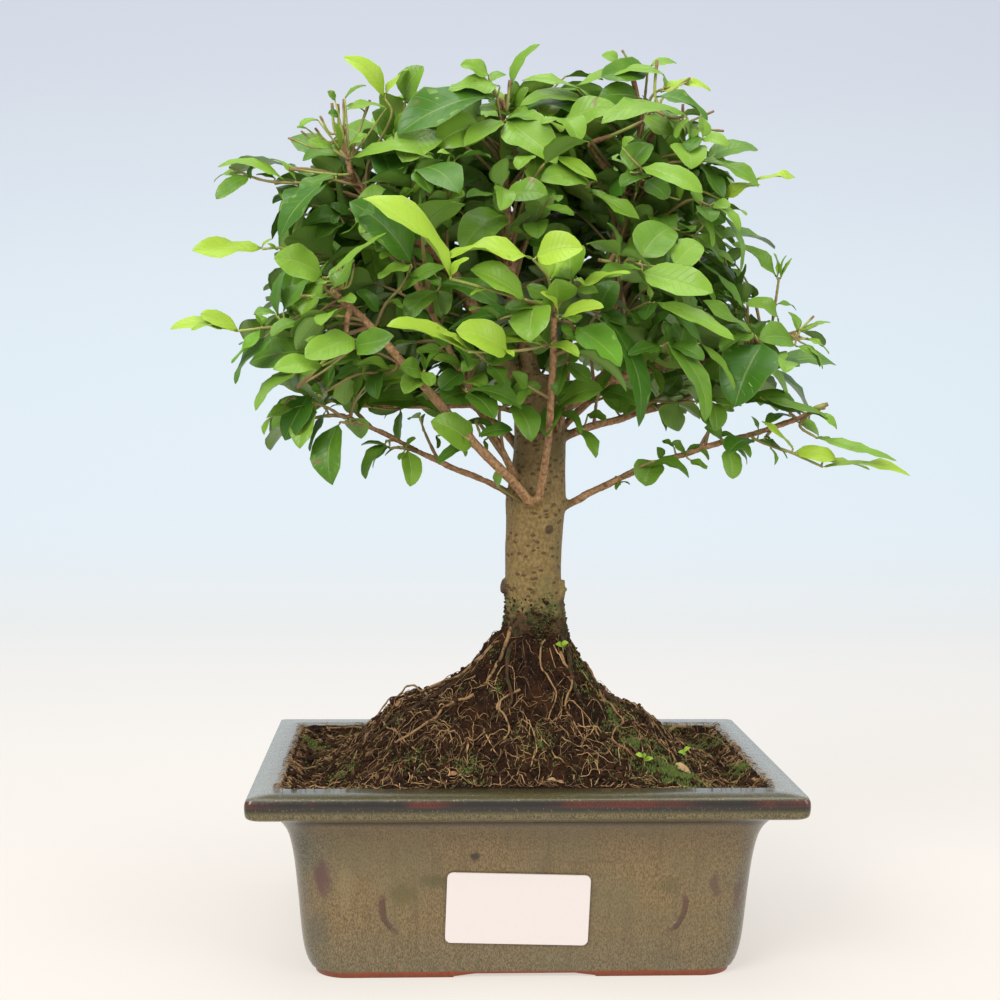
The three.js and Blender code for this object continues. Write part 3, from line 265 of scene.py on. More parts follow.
# Shoots that the photograph shows one by one. Each is a limb, how far along it the twig starts, the kind of
# its leaves, the twig as pixels with how far back it is in millimetres, and its leaves as the pixels of
# their foot and tip, how much further back the tip is, how far the upper side is turned to the camera, their
# width as a share of their length, and their tone, which holds painted shade and light as well as the leaf's
# own colour. A last number is the spray that the shoot stands for.
SHOOTS = [
    ("front_post", 0.97, "young", [(530, 303, -40), (500, 293, -46), (478, 286, -51), (452, 279, -55)], [
        (452, 279, 363, 198, -6, 0.42, 0.4, 0.95), (450, 277, 468, 257, -2, 0.5, 0.5, 0.8),
        (487, 288, 470, 295, -3, 0.5, 0.35, 0.9)], 28),
    ("front_post", 0.93, "mature", [(540, 306, -39), (524, 299, -43)], [
        (524, 299, 472, 268, -7, 0.62, 0.56, 0.95), (538, 308, 505, 309, -4, 0.5, 0.5, 0.45),
        (536, 305, 530, 341, -8, 0.9, 0.9, 0.75), (544, 300, 528, 284, 2, 0.8, 0.8, 0.6)]),
    ("front_post", 1, "young", [(552, 300, -37), (548, 278, -40), (540, 267, -43), (533, 259, -45)], [
        (533, 259, 447, 252, -9, 0.4, 0.34, 0.9), (536, 257, 582, 247, -6, 0.85, 0.72, 0.95),
        (549, 279, 541, 253, 2, 0.7, 0.7, 0.55), (551, 279, 566, 262, 3, 0.6, 0.6, 0.6)], 29),
    ("front_post", 0.99, "mature", [(562, 296, -36), (571, 281, -37)], [
        (571, 281, 573, 247, 6, 0.85, 0.95, 0.8), (556, 304, 555, 279, -9, 0.9, 0.95, 0.7),
        (574, 290, 598, 291, -4, 0.6, 0.6, 0.75)]),
    ("front_post", 1, "young", [(566, 292, -37), (577, 286, -39)], [
        (578, 288, 630, 270, -6, 0.4, 0.28, 0.75), (574, 280, 585, 285, -3, 0.5, 0.5, 0.7)]),
    ("front_post", 1, "young", [(556, 315, -38), (558, 318, -39)], [
        (561, 318, 604, 307, -7, 0.62, 0.38, 0.98), (558, 314, 541, 292, -7, 0.4, 0.32, 0.98)]),
    ("front_post", 0.78, "young", [(530, 349, -40), (500, 352, -45), (468, 352, -50)], [
        (468, 352, 388, 323, -8, 0.34, 0.4, 0.98), (467, 349, 440, 333, -3, 0.4, 0.4, 0.95),
        (508, 352, 457, 329, -7, 0.78, 0.6, 0.75), (545, 347, 500, 342, -5, 0.25, 0.4, 0.9),
        (505, 351, 514, 356, -3, 0.5, 0.6, 0.9), (546, 342, 503, 335, -3, 0.45, 0.45, 0.4)], 30),
    ("side_post", 0.86, "young", [(565, 326, -28), (575, 326, -32)], [
        (575, 327, 621, 365, -8, 0.8, 0.56, 0), (574, 333, 562, 331, -4, 0.6, 0.8, 0),
        (582, 341, 562, 337, -3, 0.6, 0.6, 0)], 31),
    ("front_post", 0.8, "young", [(551, 345, -38)], [(549, 346, 579, 356, -6, 0.6, 0.42, 0.6)]),
    ("right_fork", 0.1, "mature", [(590, 330, -10), (598, 312, -22)], [
        (600, 311, 646, 423, -10, 0.5, 0.3, 0.12), (601, 314, 617, 281, -2, 0.85, 0.85, 0.25),
        (600, 318, 626, 324, -6, 0.6, 0.7, 0.25)]),
    ("leader_left", 0.93, "young", [(368, 165, -6), (392, 112, -6), (385, 99, -7)], [
        (384, 98, 343, 57, -6, 0.72, 0.4, 0.95), (385, 95, 408, 69, 4, 0.35, 0.3, 0.8)], 10),
    ("leader_left", 0.9, "mature", [(400, 130, 0), (405, 103, 0)], [
        (405, 101, 423, 66, -4, 0.8, 0.72, 0.6), (392, 134, 372, 112, -5, 0.8, 0.8, 0.5),
        (395, 133, 405, 112, -3, 0.5, 0.6, 0.95)]),
    ("leader_middle", 0.93, "mature", [(502, 130, 0), (497, 98, -4)], [
        (496, 97, 397, 132, -14, 0.62, 0.4, 0.15), (500, 86, 448, 90, -8, 0.55, 0.42, 0.75),
        (489, 76, 461, 64, -3, 0.7, 0.6, 0.75), (488, 82, 506, 73, 3, 0.6, 0.6, 0.6)]),
    ("leader_middle", 1, "mature", [(506, 104, 3), (511, 87, 2)], [
        (511, 87, 540, 44, -3, 0.5, 0.36, 0.7), (515, 108, 527, 87, -4, 0.7, 0.6, 0.6),
        (508, 112, 480, 108, -6, 0.5, 0.5, 0.6), (509, 114, 527, 118, -7, 0.6, 0.7, 0.75)]),
    ("leader_middle", 0.9, "mature", [(505, 140, -3), (504, 121, -8)], [
        (482, 125, 436, 144, -9, 0.88, 0.68, 0.75), (503, 121, 464, 143, -11, 0.6, 0.42, 0.8),
        (507, 121, 557, 159, -12, 0.82, 0.62, 0.75), (506, 119, 541, 119, -6, 0.4, 0.5, 0.5)]),
    ("leader_middle", 0.8, "mature", [(470, 150, -8), (437, 131, -12)], [
        (437, 131, 402, 160, -8, 0.8, 0.8, 0.8), (440, 150, 410, 128, -2, 0.5, 0.5, 0.4)]),
    ("leader_middle", 0.86, "young", [(520, 150, -4), (533, 149, -8)], [
        (531, 149, 598, 181, -10, 0.35, 0.28, 0.5)]),
    ("leader_right", 0.8, "mature", [(600, 185, -4), (590, 182, -12)], [
        (590, 182, 541, 179, -9, 0.62, 0.55, 0.7), (588, 190, 640, 220, -8, 0.55, 0.34, 0.75),
        (585, 188, 625, 223, -3, 0.45, 0.34, 0.4)]),
    ("leader_right", 0.97, "mature", [(602, 115, 2), (590, 103, 0)], [
        (590, 104, 521, 101, -7, 0.45, 0.32, 0.7), (592, 98, 523, 76, -6, 0.3, 0.24, 0.85),
        (590, 110, 526, 106, -2, 0.5, 0.4, 0.15), (575, 87, 663, 69, -6, 0.4, 0.26, 0.85)]),
    ("leader_right", 0.9, "mature", [(585, 135, -8), (563, 119, -14)], [
        (565, 119, 617, 107, -8, 0.82, 0.52, 0.75), (562, 119, 579, 141, -8, 0.75, 0.7, 0.75),
        (560, 119, 541, 123, -2, 0.5, 0.5, 0.8)]),
    ("leader_right", 1, "mature", [(645, 98, 4), (648, 68, 2)], [
        (648, 68, 601, 77, -6, 0.8, 0.52, 0.35), (650, 66, 677, 62, 3, 0.6, 0.4, 0.8),
        (618, 62, 602, 55, 2, 0.7, 0.8, 0.75), (640, 98, 600, 95, -6, 0.8, 0.6, 0.35)]),
    ("leader_right", 0.96, "young", [(652, 96, 0), (664, 88, -2)], [
        (662, 92, 690, 79, -1, 0.6, 0.45, 0.8), (680, 84, 711, 91, 0, 0.6, 0.36, 0.95),
        (664, 86, 663, 74, 3, 0.5, 0.5, 0.3)], 16),
    ("leader_right", 0.93, "mature", [(650, 112, -6), (672, 118, -12), (686, 116, -14)], [
        (686, 115, 602, 121, -12, 0.55, 0.28, 0.75), (655, 97, 708, 120, -4, 0.45, 0.34, 0.3),
        (645, 115, 672, 134, -6, 0.8, 0.55, 0.7), (663, 114, 684, 145, -6, 0.5, 0.34, 0.75),
        (688, 118, 676, 138, -4, 0.5, 0.5, 0.7)]),
    ("leader_right", 0.84, "mature", [(660, 160, -6), (684, 152, -14), (700, 140, -16)], [
        (686, 144, 692, 167, -8, 0.9, 0.95, 0.85), (700, 137, 689, 150, -5, 0.7, 0.7, 0.3),
        (701, 140, 729, 146, -5, 0.7, 0.5, 0.9), (703, 137, 702, 117, 3, 0.7, 0.75, 0.7),
        (690, 150, 688, 119, 3, 0.6, 0.55, 0.75), (691, 140, 702, 126, 2, 0.7, 0.6, 0.7)]),
    ("leader_right", 0.8, "mature", [(665, 165, -8), (700, 162, -8)], [
        (700, 160, 760, 183, -6, 0.5, 0.32, 0.6), (700, 165, 724, 198, -5, 0.6, 0.45, 0.3),
        (702, 162, 737, 174, 2, 0.5, 0.4, 0.75)]),
    ("leader_right", 0.76, "young", [(690, 190, -6), (722, 200, -8)], [
        (722, 200, 760, 184, -3, 0.6, 0.4, 0.9), (722, 199, 718, 189, -2, 0.5, 0.7, 0.95),
        (756, 179, 796, 175, 4, 0.5, 0.26, 0.98)], 18),
    ("leader_right", 0.72, "mature", [(690, 200, -14), (708, 205, -18)], [
        (712, 205, 741, 231, -5, 0.5, 0.36, 0.75), (716, 209, 742, 272, -8, 0.35, 0.2, 0.5),
        (714, 203, 730, 207, -4, 0.7, 0.8, 0.7), (703, 207, 712, 220, -7, 0.7, 0.8, 0.3),
        (700, 205, 692, 190, 2, 0.7, 0.7, 0.6), (696, 214, 714, 246, -6, 0.5, 0.34, 0.6)]),
    ("leader_right", 0.78, "mature", [(640, 180, -14), (641, 168, -22)], [
        (641, 168, 703, 190, -8, 0.7, 0.36, 0.85), (630, 172, 650, 143, 3, 0.8, 0.85, 0.4),
        (622, 147, 634, 138, -2, 0.6, 0.8, 0.8), (645, 180, 668, 198, -3, 0.8, 0.8, 0.3),
        (650, 176, 620, 186, -4, 0.6, 0.6, 0.3), (680, 200, 686, 172, 2, 0.6, 0.45, 0.7)]),
    ("leader_right", 0.58, "mature", [(625, 262, -18), (642, 265, -32)], [
        (641, 259, 672, 226, 3, 0.92, 0.86, 0.55), (674, 266, 700, 242, 3, 0.9, 0.86, 0.85),
        (642, 272, 713, 291, -11, 0.82, 0.44, 0.95), (642, 270, 597, 277, -9, 0.55, 0.36, 0.55)], 33),
    ("leader_right", 0.5, "mature", [(625, 316, -14), (648, 302, -28)], [
        (655, 302, 735, 340, -12, 0.55, 0.26, 0.95), (650, 301, 645, 281, 2, 0.5, 0.35, 0.8),
        (652, 303, 645, 320, -4, 0.7, 0.85, 0.2), (650, 303, 704, 343, 2, 0.4, 0.24, 0.2)]),
    ("leader_right", 0.7, "mature", [(670, 232, -8), (694, 236, -14)], [
        (690, 233, 724, 262, -5, 0.55, 0.42, 0.5), (696, 246, 735, 262, -4, 0.4, 0.3, 0.6),
        (700, 262, 745, 305, -7, 0.4, 0.2, 0.3), (690, 285, 716, 301, -5, 0.5, 0.4, 0.45),
        (706, 222, 722, 238, -6, 0.4, 0.45, 0.5)]),
    ("right_fork", 0.97, "small", [(774, 312, -4), (777, 292, -5), (779, 278, -6)], [
        (777, 278, 732, 244, -4, 0.5, 0.32, 0.5), (777, 277, 774, 253, 0, 0.5, 0.3, 0.95),
        (781, 277, 792, 258, 1, 0.5, 0.3, 0.95), (781, 277, 786, 255, 0, 0.4, 0.26, 0.95),
        (777, 304, 797, 309, 2, 0.4, 0.3, 0.5)], 20),
    ("right_fork", 1, "mature", [(780, 332, -6), (796, 338, -10)], [
        (793, 340, 761, 338, -9, 0.8, 0.62, 0.5), (778, 318, 746, 304, -5, 0.7, 0.42, 0.7),
        (795, 346, 821, 366, -4, 0.5, 0.36, 0.6), (806, 338, 830, 353, -3, 0.4, 0.26, 0.9),
        (805, 344, 824, 368, -5, 0.3, 0.2, 0.9), (797, 332, 788, 312, 2, 0.6, 0.55, 0.6),
        (800, 331, 830, 320, 2, 0.4, 0.3, 0.8), (770, 322, 756, 336, -6, 0.6, 0.5, 0.35)]),
    ("right_fork", 0.72, "mature", [(752, 348, -14), (762, 342, -18)], [
        (763, 343, 734, 404, -9, 0.9, 0.74, 0.02), (752, 333, 703, 300, -5, 0.5, 0.3, 0.6),
        (755, 335, 720, 350, -6, 0.6, 0.5, 0.5), (748, 340, 716, 328, -3, 0.5, 0.5, 0.35)]),
    ("right_fork", 0.45, "mature", [(668, 350, -20), (665, 344, -26)], [
        (665, 343, 707, 420, -10, 0.62, 0.3, 0.5), (700, 343, 737, 388, -9, 0.4, 0.24, 0.7),
        (640, 360, 661, 394, -6, 0.5, 0.36, 0.75), (668, 342, 662, 322, -2, 0.7, 0.6, 0.2),
        (670, 345, 704, 360, -7, 0.6, 0.5, 0.3), (660, 346, 628, 356, -6, 0.6, 0.5, 0.25)], 34),
    ("right", 0.5, "mature", [(648, 403, 0), (676, 402, -6)], [
        (678, 402, 673, 430, -5, -0.85, 0.9, 0.9), (650, 402, 668, 430, -4, 0.4, 0.22, 0.5),
        (640, 395, 624, 414, -3, 0.7, 0.8, 0.4), (604, 392, 622, 412, -4, 0.7, 0.7, 0.5)]),
    ("low_right", 0.62, "small", [(712, 415, -10), (710, 400, -12)], [
        (710, 401, 716, 431, -4, 0.85, 0.65, 0.5), (706, 400, 742, 406, -5, 0.4, 0.4, 0.6)]),
    ("low_right", 0.66, "small", [(724, 441, -10)], [
        (722, 438, 705, 427, -2, 0.75, 0.7, 0.3), (720, 437, 733, 434, 2, 0.6, 0.55, 0.4),
        (727, 448, 733, 479, -3, 0.9, 0.62, 0.6), (734, 447, 748, 464, 3, 0.4, 0.34, 0.5),
        (737, 440, 751, 457, -3, 0.65, 0.5, 0.6)]),
    ("low_right", 0.54, "small", [(685, 454, -7)], [
        (685, 455, 672, 442, -3, 0.6, 0.55, 0.4), (674, 447, 662, 441, 2, 0.6, 0.6, 0.7),
        (690, 460, 707, 469, -4, 0.6, 0.5, 0.6), (700, 448, 709, 460, -2, 0.6, 0.5, 0.5),
        (703, 446, 687, 450, 2, 0.5, 0.5, 0.5)]),
    ("low_right", 0.44, "small", [(657, 461, -5)], [
        (656, 460, 645, 485, -4, 0.95, 0.95, 0.5), (661, 459, 657, 447, -1, 0.8, 0.8, 0.4)]),
    ("low_right", 0.32, "small", [(620, 480, -3)], [
        (620, 482, 616, 490, -2, 0.7, 0.6, 0.6), (618, 480, 615, 476, 0, 0.7, 0.7, 0.5),
        (622, 482, 630, 484, -2, 0.4, 0.3, 0.3)]),
    ("low_right", 0.84, "mature", [(790, 412, -14), (800, 410, -15)], [
        (800, 414, 745, 400, 6, 0.7, 0.42, 0.4), (760, 397, 838, 417, -3, 0.45, 0.18, 0.55),
        (806, 413, 838, 427, -4, 0.5, 0.34, 0.8), (800, 412, 789, 408, -3, 0.7, 0.8, 0.4),
        (790, 416, 765, 424, -3, 0.5, 0.5, 0.3), (797, 422, 820, 436, 3, 0.6, 0.5, 0.75)]),
    ("low_right", 0.74, "small", [(752, 437, -12), (787, 452, -14)], [
        (755, 440, 788, 458, -2, 0.4, 0.24, 0.3), (770, 448, 775, 465, -2, 0.5, 0.34, 0.55),
        (757, 440, 752, 416, -1, 0.3, 0.26, 0.5), (765, 436, 770, 440, -2, 0.5, 0.5, 0.4)]),
    ("low_right", 0.78, "young", [(765, 441, -12), (790, 452, -14), (823, 467, -15)], [
        (793, 448, 763, 420, -4, 0.4, 0.26, 0.9), (795, 452, 836, 459, -5, 0.8, 0.46, 0.85),
        (823, 467, 911, 472, -6, 0.4, 0.2, 0.98), (823, 461, 870, 469, -3, 0.4, 0.22, 0.95)], 23),
    ("low_right", 0.9, "mature", [(800, 426, -14), (817, 438, -16)], [
        (818, 438, 897, 460, -8, 0.5, 0.22, 0.75), (816, 438, 835, 443, 2, 0.4, 0.4, 0.7)]),
    ("right", 0.28, "mature", [(583, 428, -6), (578, 430, -10)], [
        (576, 429, 596, 458, -5, 0.7, 0.44, 0.6), (588, 414, 606, 419, -3, 0.6, 0.7, 0.6)]),
    ("front_left", 1, "young", [(300, 322, -32), (262, 328, -30), (238, 331, -28)], [
        (238, 331, 170, 328, -6, 0.45, 0.3, 0.95), (238, 330, 200, 314, -4, 0.7, 0.5, 0.85),
        (228, 327, 192, 327, -7, 0.5, 0.34, 0.6), (262, 328, 231, 363, -3, 0.5, 0.28, 0.12),
        (262, 326, 254, 314, 2, 0.6, 0.8, 0.3)], 1),
    ("front_left", 0.95, "mature", [(310, 325, -32), (285, 322, -31), (277, 330, -30)], [
        (277, 333, 233, 382, -5, 0.5, 0.28, 0.25), (300, 322, 271, 336, -5, 0.6, 0.5, 0.5),
        (278, 316, 286, 268, 3, 0.5, 0.36, 0.2), (283, 312, 316, 275, 4, 0.55, 0.45, 0.35),
        (275, 313, 254, 314, -3, 0.6, 0.6, 0.5), (302, 318, 322, 280, 6, 0.7, 0.6, 0.7)]),
    ("leader_left", 0.7, "young", [(300, 255, -10), (281, 248, -12), (262, 249, -12)], [
        (262, 248, 192, 250, -6, 0.68, 0.34, 0.92), (262, 246, 272, 239, 2, 0.4, 0.4, 0.9),
        (277, 250, 268, 243, -1, 0.6, 0.5, 0.5)], 2),
    ("front_left", 0.97, "mature", [(326, 290, -34), (323, 277, -38)], [
        (322, 276, 275, 258, -9, 0.88, 0.62, 0.95), (330, 276, 387, 233, -6, 0.35, 0.2, 0.85),
        (334, 290, 352, 257, 3, 0.7, 0.6, 0.5), (330, 297, 311, 297, -4, 0.5, 0.4, 0.8),
        (340, 300, 355, 303, -6, 0.6, 0.6, 0.75), (334, 283, 316, 283, -5, 0.5, 0.36, 0.8)], 36),
    ("front_left", 0.8, "mature", [(378, 335, -30), (354, 346, -38)], [
        (354, 346, 394, 336, -8, 0.88, 0.56, 0.4), (356, 339, 305, 357, -8, 0.85, 0.52, 0.95),
        (331, 347, 305, 340, -4, 0.5, 0.4, 0.8), (322, 366, 273, 369, -7, 0.75, 0.46, 0.95)]),
    ("front_left", 0.78, "mature", [(380, 342, -28), (355, 348, -30), (330, 367, -31), (298, 387, -32)], [
        (330, 366, 362, 360, 2, 0.5, 0.4, 0.3), (300, 385, 289, 345, 12, -0.85, 0.5, 0.4),
        (312, 378, 316, 350, 8, 0.7, 0.6, 0.6)]),
    ("front_left", 0.7, "mature", [(395, 370, -27), (358, 374, -28), (332, 388, -30), (318, 396, -30)], [
        (392, 371, 355, 366, -5, 0.5, 0.4, 0.8), (382, 371, 377, 399, -4, 0.75, 0.7, 0.15),
        (350, 378, 345, 405, 3, -0.8, 0.8, 0.8), (325, 391, 360, 365, -6, 0.4, 0.24, 0.2),
        (322, 394, 312, 389, -5, 0.6, 0.7, 0.4), (330, 389, 340, 352, 6, 0.6, 0.5, 0.3)]),
    ("front_left", 0.82, "mature", [(374, 328, -26), (385, 305, -26), (402, 286, -27), (412, 266, -29)], [
        (379, 313, 358, 290, -3, 0.75, 0.5, 0.2), (411, 264, 349, 202, -6, 0.85, 0.5, 0.2),
        (402, 291, 444, 264, -5, 0.6, 0.4, 0.5), (411, 265, 378, 277, -8, 0.55, 0.36, 0.85),
        (388, 300, 402, 307, -6, 0.5, 0.4, 0.5), (407, 274, 440, 285, -6, 0.5, 0.4, 0.35)]),
    ("inner_left", 0.9, "mature", [(438, 278, -16), (440, 285, -22)], [
        (440, 284, 498, 303, -8, 0.7, 0.42, 0.25), (436, 292, 405, 318, -5, 0.8, 0.6, 0.5),
        (438, 290, 448, 314, -4, -0.8, 0.6, 0.8), (434, 272, 410, 250, -2, 0.6, 0.5, 0.35)]),
    ("leader_left", 0.97, "mature", [(352, 185, -12), (332, 180, -16), (329, 182, -18)], [
        (330, 180, 278, 238, -5, 0.55, 0.42, 0.12), (336, 176, 300, 200, -4, 0.6, 0.5, 0.3)]),
    ("leader_left", 0.98, "mature", [(340, 180, -6), (300, 183, -8), (262, 180, -9), (229, 167, -10)], [
        (250, 176, 216, 199, -5, 0.8, 0.4, 0.5), (250, 178, 252, 166, -2, 0.6, 0.6, 0.15),
        (285, 181, 219, 162, -5, 0.4, 0.28, 0.95), (296, 181, 268, 157, 2, 0.4, 0.28, 0.85),
        (245, 174, 213, 180, 2, 0.4, 0.28, 0.9), (275, 178, 256, 174, 2, 0.4, 0.4, 0.8)]),
    ("leader_left", 1, "mature", [(352, 168, -8), (350, 160, -10)], [
        (350, 160, 432, 152, -12, 0.5, 0.22, 0.8), (332, 148, 308, 141, -5, 0.7, 0.42, 0.75),
        (348, 150, 368, 134, -4, 0.5, 0.36, 0.75), (340, 150, 336, 122, -3, 0.5, 0.4, 0.75),
        (306, 128, 297, 127, -2, 0.5, 0.5, 0.8), (318, 120, 300, 127, -3, 0.5, 0.45, 0.8),
        (338, 116, 328, 113, -2, 0.8, 0.8, 0.3), (345, 98, 365, 84, -2, 0.4, 0.34, 0.8),
        (335, 100, 328, 91, -2, 0.8, 0.7, 0.6), (365, 112, 345, 107, -3, 0.4, 0.34, 0.5),
        (386, 108, 347, 108, -4, 0.5, 0.3, 0.8)]),
    ("leader_left", 0.8, "mature", [(362, 205, -8), (340, 215, -12)], [
        (340, 214, 305, 222, -6, 0.7, 0.6, 0.2), (344, 224, 316, 238, -6, 0.6, 0.5, 0.3),
        (350, 214, 330, 204, -2, 0.7, 0.6, 0.15)]),
    ("low_left", 1, "mature", [(345, 418, -21), (330, 409, -22), (318, 404, -23), (290, 398, -24)], [
        (310, 394, 284, 440, -2, 0.8, 0.6, 0.05), (314, 405, 266, 417, -5, 0.42, 0.36, 0.8),
        (315, 407, 300, 449, -6, 0.8, 0.55, 0.85), (325, 412, 307, 450, -3, 0.4, 0.3, 0.25),
        (324, 408, 340, 390, 3, 0.5, 0.4, 0.6), (270, 418, 263, 434, -2, 0.6, 0.5, 0.8)]),
    ("low_left", 0.94, "mature", [(352, 423, -20), (340, 422, -22)], [
        (339, 424, 332, 485, -6, 0.85, 0.55, 0.3), (350, 418, 362, 437, 5, -0.8, 0.9, 0.9)]),
    ("low_left", 0.72, "small", [(386, 441, -16)], [
        (386, 443, 363, 477, -4, 0.5, 0.5, 0.4), (390, 446, 371, 467, 3, 0.4, 0.36, 0.8)]),
    ("low_left", 0.64, "small", [(405, 448, -15)], [
        (407, 450, 411, 486, -4, 0.9, 0.56, 0.75), (404, 452, 399, 460, -2, 0.7, 0.7, 0.6),
        (406, 446, 416, 438, -2, 0.6, 0.55, 0.5), (400, 446, 385, 456, 2, 0.3, 0.3, 0.6)]),
    ("left_level", 0.72, "small", [(400, 409, 11)], [
        (401, 411, 398, 440, -4, 0.5, 0.5, 0.4), (372, 407, 366, 403, -3, 0.6, 0.6, 0.5)]),
    ("left_level", 0.76, "mature", [(395, 405, 8), (410, 402, 2)], [
        (420, 401, 368, 402, -6, 0.75, 0.42, 0.5), (405, 405, 440, 412, -4, 0.5, 0.5, 0.7)]),
    ("front_left", 0.4, "mature", [(452, 430, -20), (470, 440, -26)], [
        (473, 446, 432, 421, -9, 0.88, 0.6, 0.75), (468, 440, 437, 463, -3, 0.6, 0.42, 0.3),
        (460, 446, 466, 456, -2, 0.6, 0.6, 0.5), (436, 436, 438, 448, -2, 0.5, 0.6, 0.4)], 35),
    ("front_left", 0.58, "small", [(432, 396, -27), (422, 373, -30)], [
        (420, 371, 401, 367, -5, 0.85, 0.85, 0.6), (420, 376, 404, 393, -5, 0.85, 0.8, 0.75),
        (422, 372, 431, 385, -5, 0.8, 0.7, 0.85), (424, 370, 419, 349, 2, 0.5, 0.45, 0.5),
        (425, 370, 440, 350, 2, 0.4, 0.4, 0.3)]),
    ("inner_left", 0.42, "mature", [(462, 388, -18), (467, 392, -24)], [
        (466, 393, 441, 400, -6, 0.85, 0.95, 0.35), (468, 391, 522, 406, -8, 0.62, 0.36, 0.35),
        (467, 393, 495, 418, -8, 0.75, 0.58, 0.35), (468, 380, 486, 388, -6, 0.7, 0.8, 0.85),
        (464, 370, 434, 358, -5, 0.6, 0.42, 0.7), (463, 372, 440, 390, -3, 0.8, 0.8, 0.15)]),
    ("inner_left", 0.26, "mature", [(476, 420, -16), (480, 434, -20)], [
        (479, 436, 512, 429, -5, 0.7, 0.46, 0.3), (497, 430, 466, 423, -3, 0.5, 0.4, 0.4),
        (484, 440, 486, 452, -2, 0.6, 0.5, 0.3)]),
    ("front_left", 0.12, "small", [(497, 486, -12)], [(497, 486, 502, 470, -4, 0.7, 0.6, 0.6)]),
    ("side_post", 0.3, "mature", [(552, 402, -14), (556, 408, -18)], [
        (558, 409, 603, 389, -8, 0.75, 0.5, 0.6), (558, 412, 582, 432, -6, 0.6, 0.4, 0.6),
        (556, 404, 545, 436, -5, 0.8, 0.62, 0.4), (557, 402, 575, 380, -3, 0.6, 0.5, 0.3)]),
    ("right", 0.34, "mature", [(596, 405, -6), (598, 394, -14)], [
        (598, 392, 641, 405, -7, 0.7, 0.46, 0.35), (597, 390, 612, 372, -3, 0.7, 0.6, 0.5),
        (596, 398, 572, 390, -5, 0.7, 0.55, 0.4)]),
    ("inner_left", 0.34, "mature", [(500, 410, -16), (512, 404, -22)], [
        (512, 404, 532, 440, -7, 0.85, 0.6, 0.45), (513, 402, 541, 386, -5, 0.75, 0.6, 0.5),
        (508, 404, 494, 382, -3, 0.7, 0.6, 0.25), (504, 408, 517, 376, 2, 0.7, 0.5, 0.2)]),
    ("inner_left", 0.56, "mature", [(470, 352, -18), (488, 362, -24)], [
        (488, 364, 520, 352, -4, 0.75, 0.6, 0.3), (488, 366, 508, 390, -5, 0.75, 0.55, 0.4),
        (486, 362, 500, 344, -2, 0.7, 0.6, 0.15), (480, 360, 462, 372, -4, 0.7, 0.6, 0.5)]),
    ("side_post", 0.55, "mature", [(562, 366, -22), (568, 362, -26)], [
        (568, 362, 592, 346, -4, 0.75, 0.6, 0.35), (568, 364, 590, 382, -5, 0.8, 0.6, 0.45),
        (566, 364, 556, 394, -5, 0.8, 0.5, 0.3)]),
    ("front_post", 0.6, "mature", [(538, 392, -30), (528, 386, -33)], [
        (528, 386, 512, 372, -4, 0.75, 0.62, 0.45), (529, 388, 520, 404, -4, 0.7, 0.6, 0.55)]),
    ("inner_left", 0.62, "mature", [(440, 350, -22), (452, 342, -28)], [
        (450, 345, 420, 325, -4, 0.7, 0.6, 0.3), (452, 342, 470, 366, -4, 0.6, 0.5, 0.3),
        (446, 352, 416, 352, -3, 0.6, 0.5, 0.5)]),
]

# Cut stubs: the limb and the place on it that their twig grows from, the twig, and for each stub the
# pixels of its foot and its cut end and its thickness in millimetres.
STUBS = [
    ("leader_left", 1, [(351, 172, -8), (345, 150, -8), (336, 132, -8)], [
        (334, 130, 332, 103, 1.1), (339, 133, 338, 104, 1.1), (344, 140, 344, 99, 1.1),
        (330, 136, 320, 116, 0.9), (326, 145, 315, 128, 0.9), (318, 150, 301, 131, 0.8),
        (316, 152, 288, 138, 0.8), (348, 150, 346, 128, 0.9), (352, 150, 370, 100, 1.1),
        (345, 176, 289, 169, 1.0)]),
    ("front_left", 1, [(333, 290, -31), (341, 288, -31)], [
        (340, 287, 337, 266, 1.0), (343, 289, 341, 262, 1.1), (346, 290, 347, 270, 0.9),
        (350, 288, 354, 263, 1.0), (322, 297, 301, 296, 1.0)]),
    ("leader_right", 0.96, [(668, 118, -3), (684, 126, -4)], [
        (682, 150, 683, 104, 1.1), (684, 124, 714, 111, 0.9), (690, 128, 724, 131, 0.9),
        (655, 100, 690, 78, 1.0), (652, 95, 657, 60, 1.2)]),
    ("leader_right", 1, [(636, 92, 3), (628, 60, 2)], [(627, 58, 622, 50, 0.9)]),
    ("leader_middle", 1, [(500, 100, 0), (507, 110, 0)], [
        (507, 112, 510, 80, 1.3), (506, 118, 506, 94, 1.1), (499, 102, 492, 84, 1.2)]),
    ("leader_right", 0.9, [(590, 146, -2), (610, 136, -6)], [(608, 137, 644, 121, 1.3)]),
    ("leader_right", 0.62, [(618, 250, -8), (610, 262, -14)], [(610, 262, 598, 260, 1.4)]),
    ("low_right", 1, [(815, 408, -15)], [(815, 408, 828, 404, 1.5)]),
    ("right_fork", 1, [(790, 338, -8), (800, 330, -9)], [
        (800, 330, 814, 316, 0.9), (802, 332, 818, 324, 0.9), (800, 338, 818, 341, 0.9)]),
    ("front_left", 0.93, [(348, 316, -34), (345, 340, -36)], [(345, 340, 297, 388, 1.3)]),
]
# The kinds of leaf: how much of a twig is leafy, how many pairs of leaves the plain solid has there, how
# long they are, and their width as a share of their length.
KINDS = {
    "mature": {"leafy": 30, "pairs": 3, "length": 18.5, "slim": 0.56},
    "young": {"leafy": 27, "pairs": 2, "length": 21, "slim": 0.46},
    "small": {"leafy": 22, "pairs": 3, "length": 10, "slim": 0.66},
}
# How many times each of the solids' leaves was tried, and half a real leaf's thickness.
TRIES_PER_LEAF = 14
LEAF_HALF_THICK = 0.13
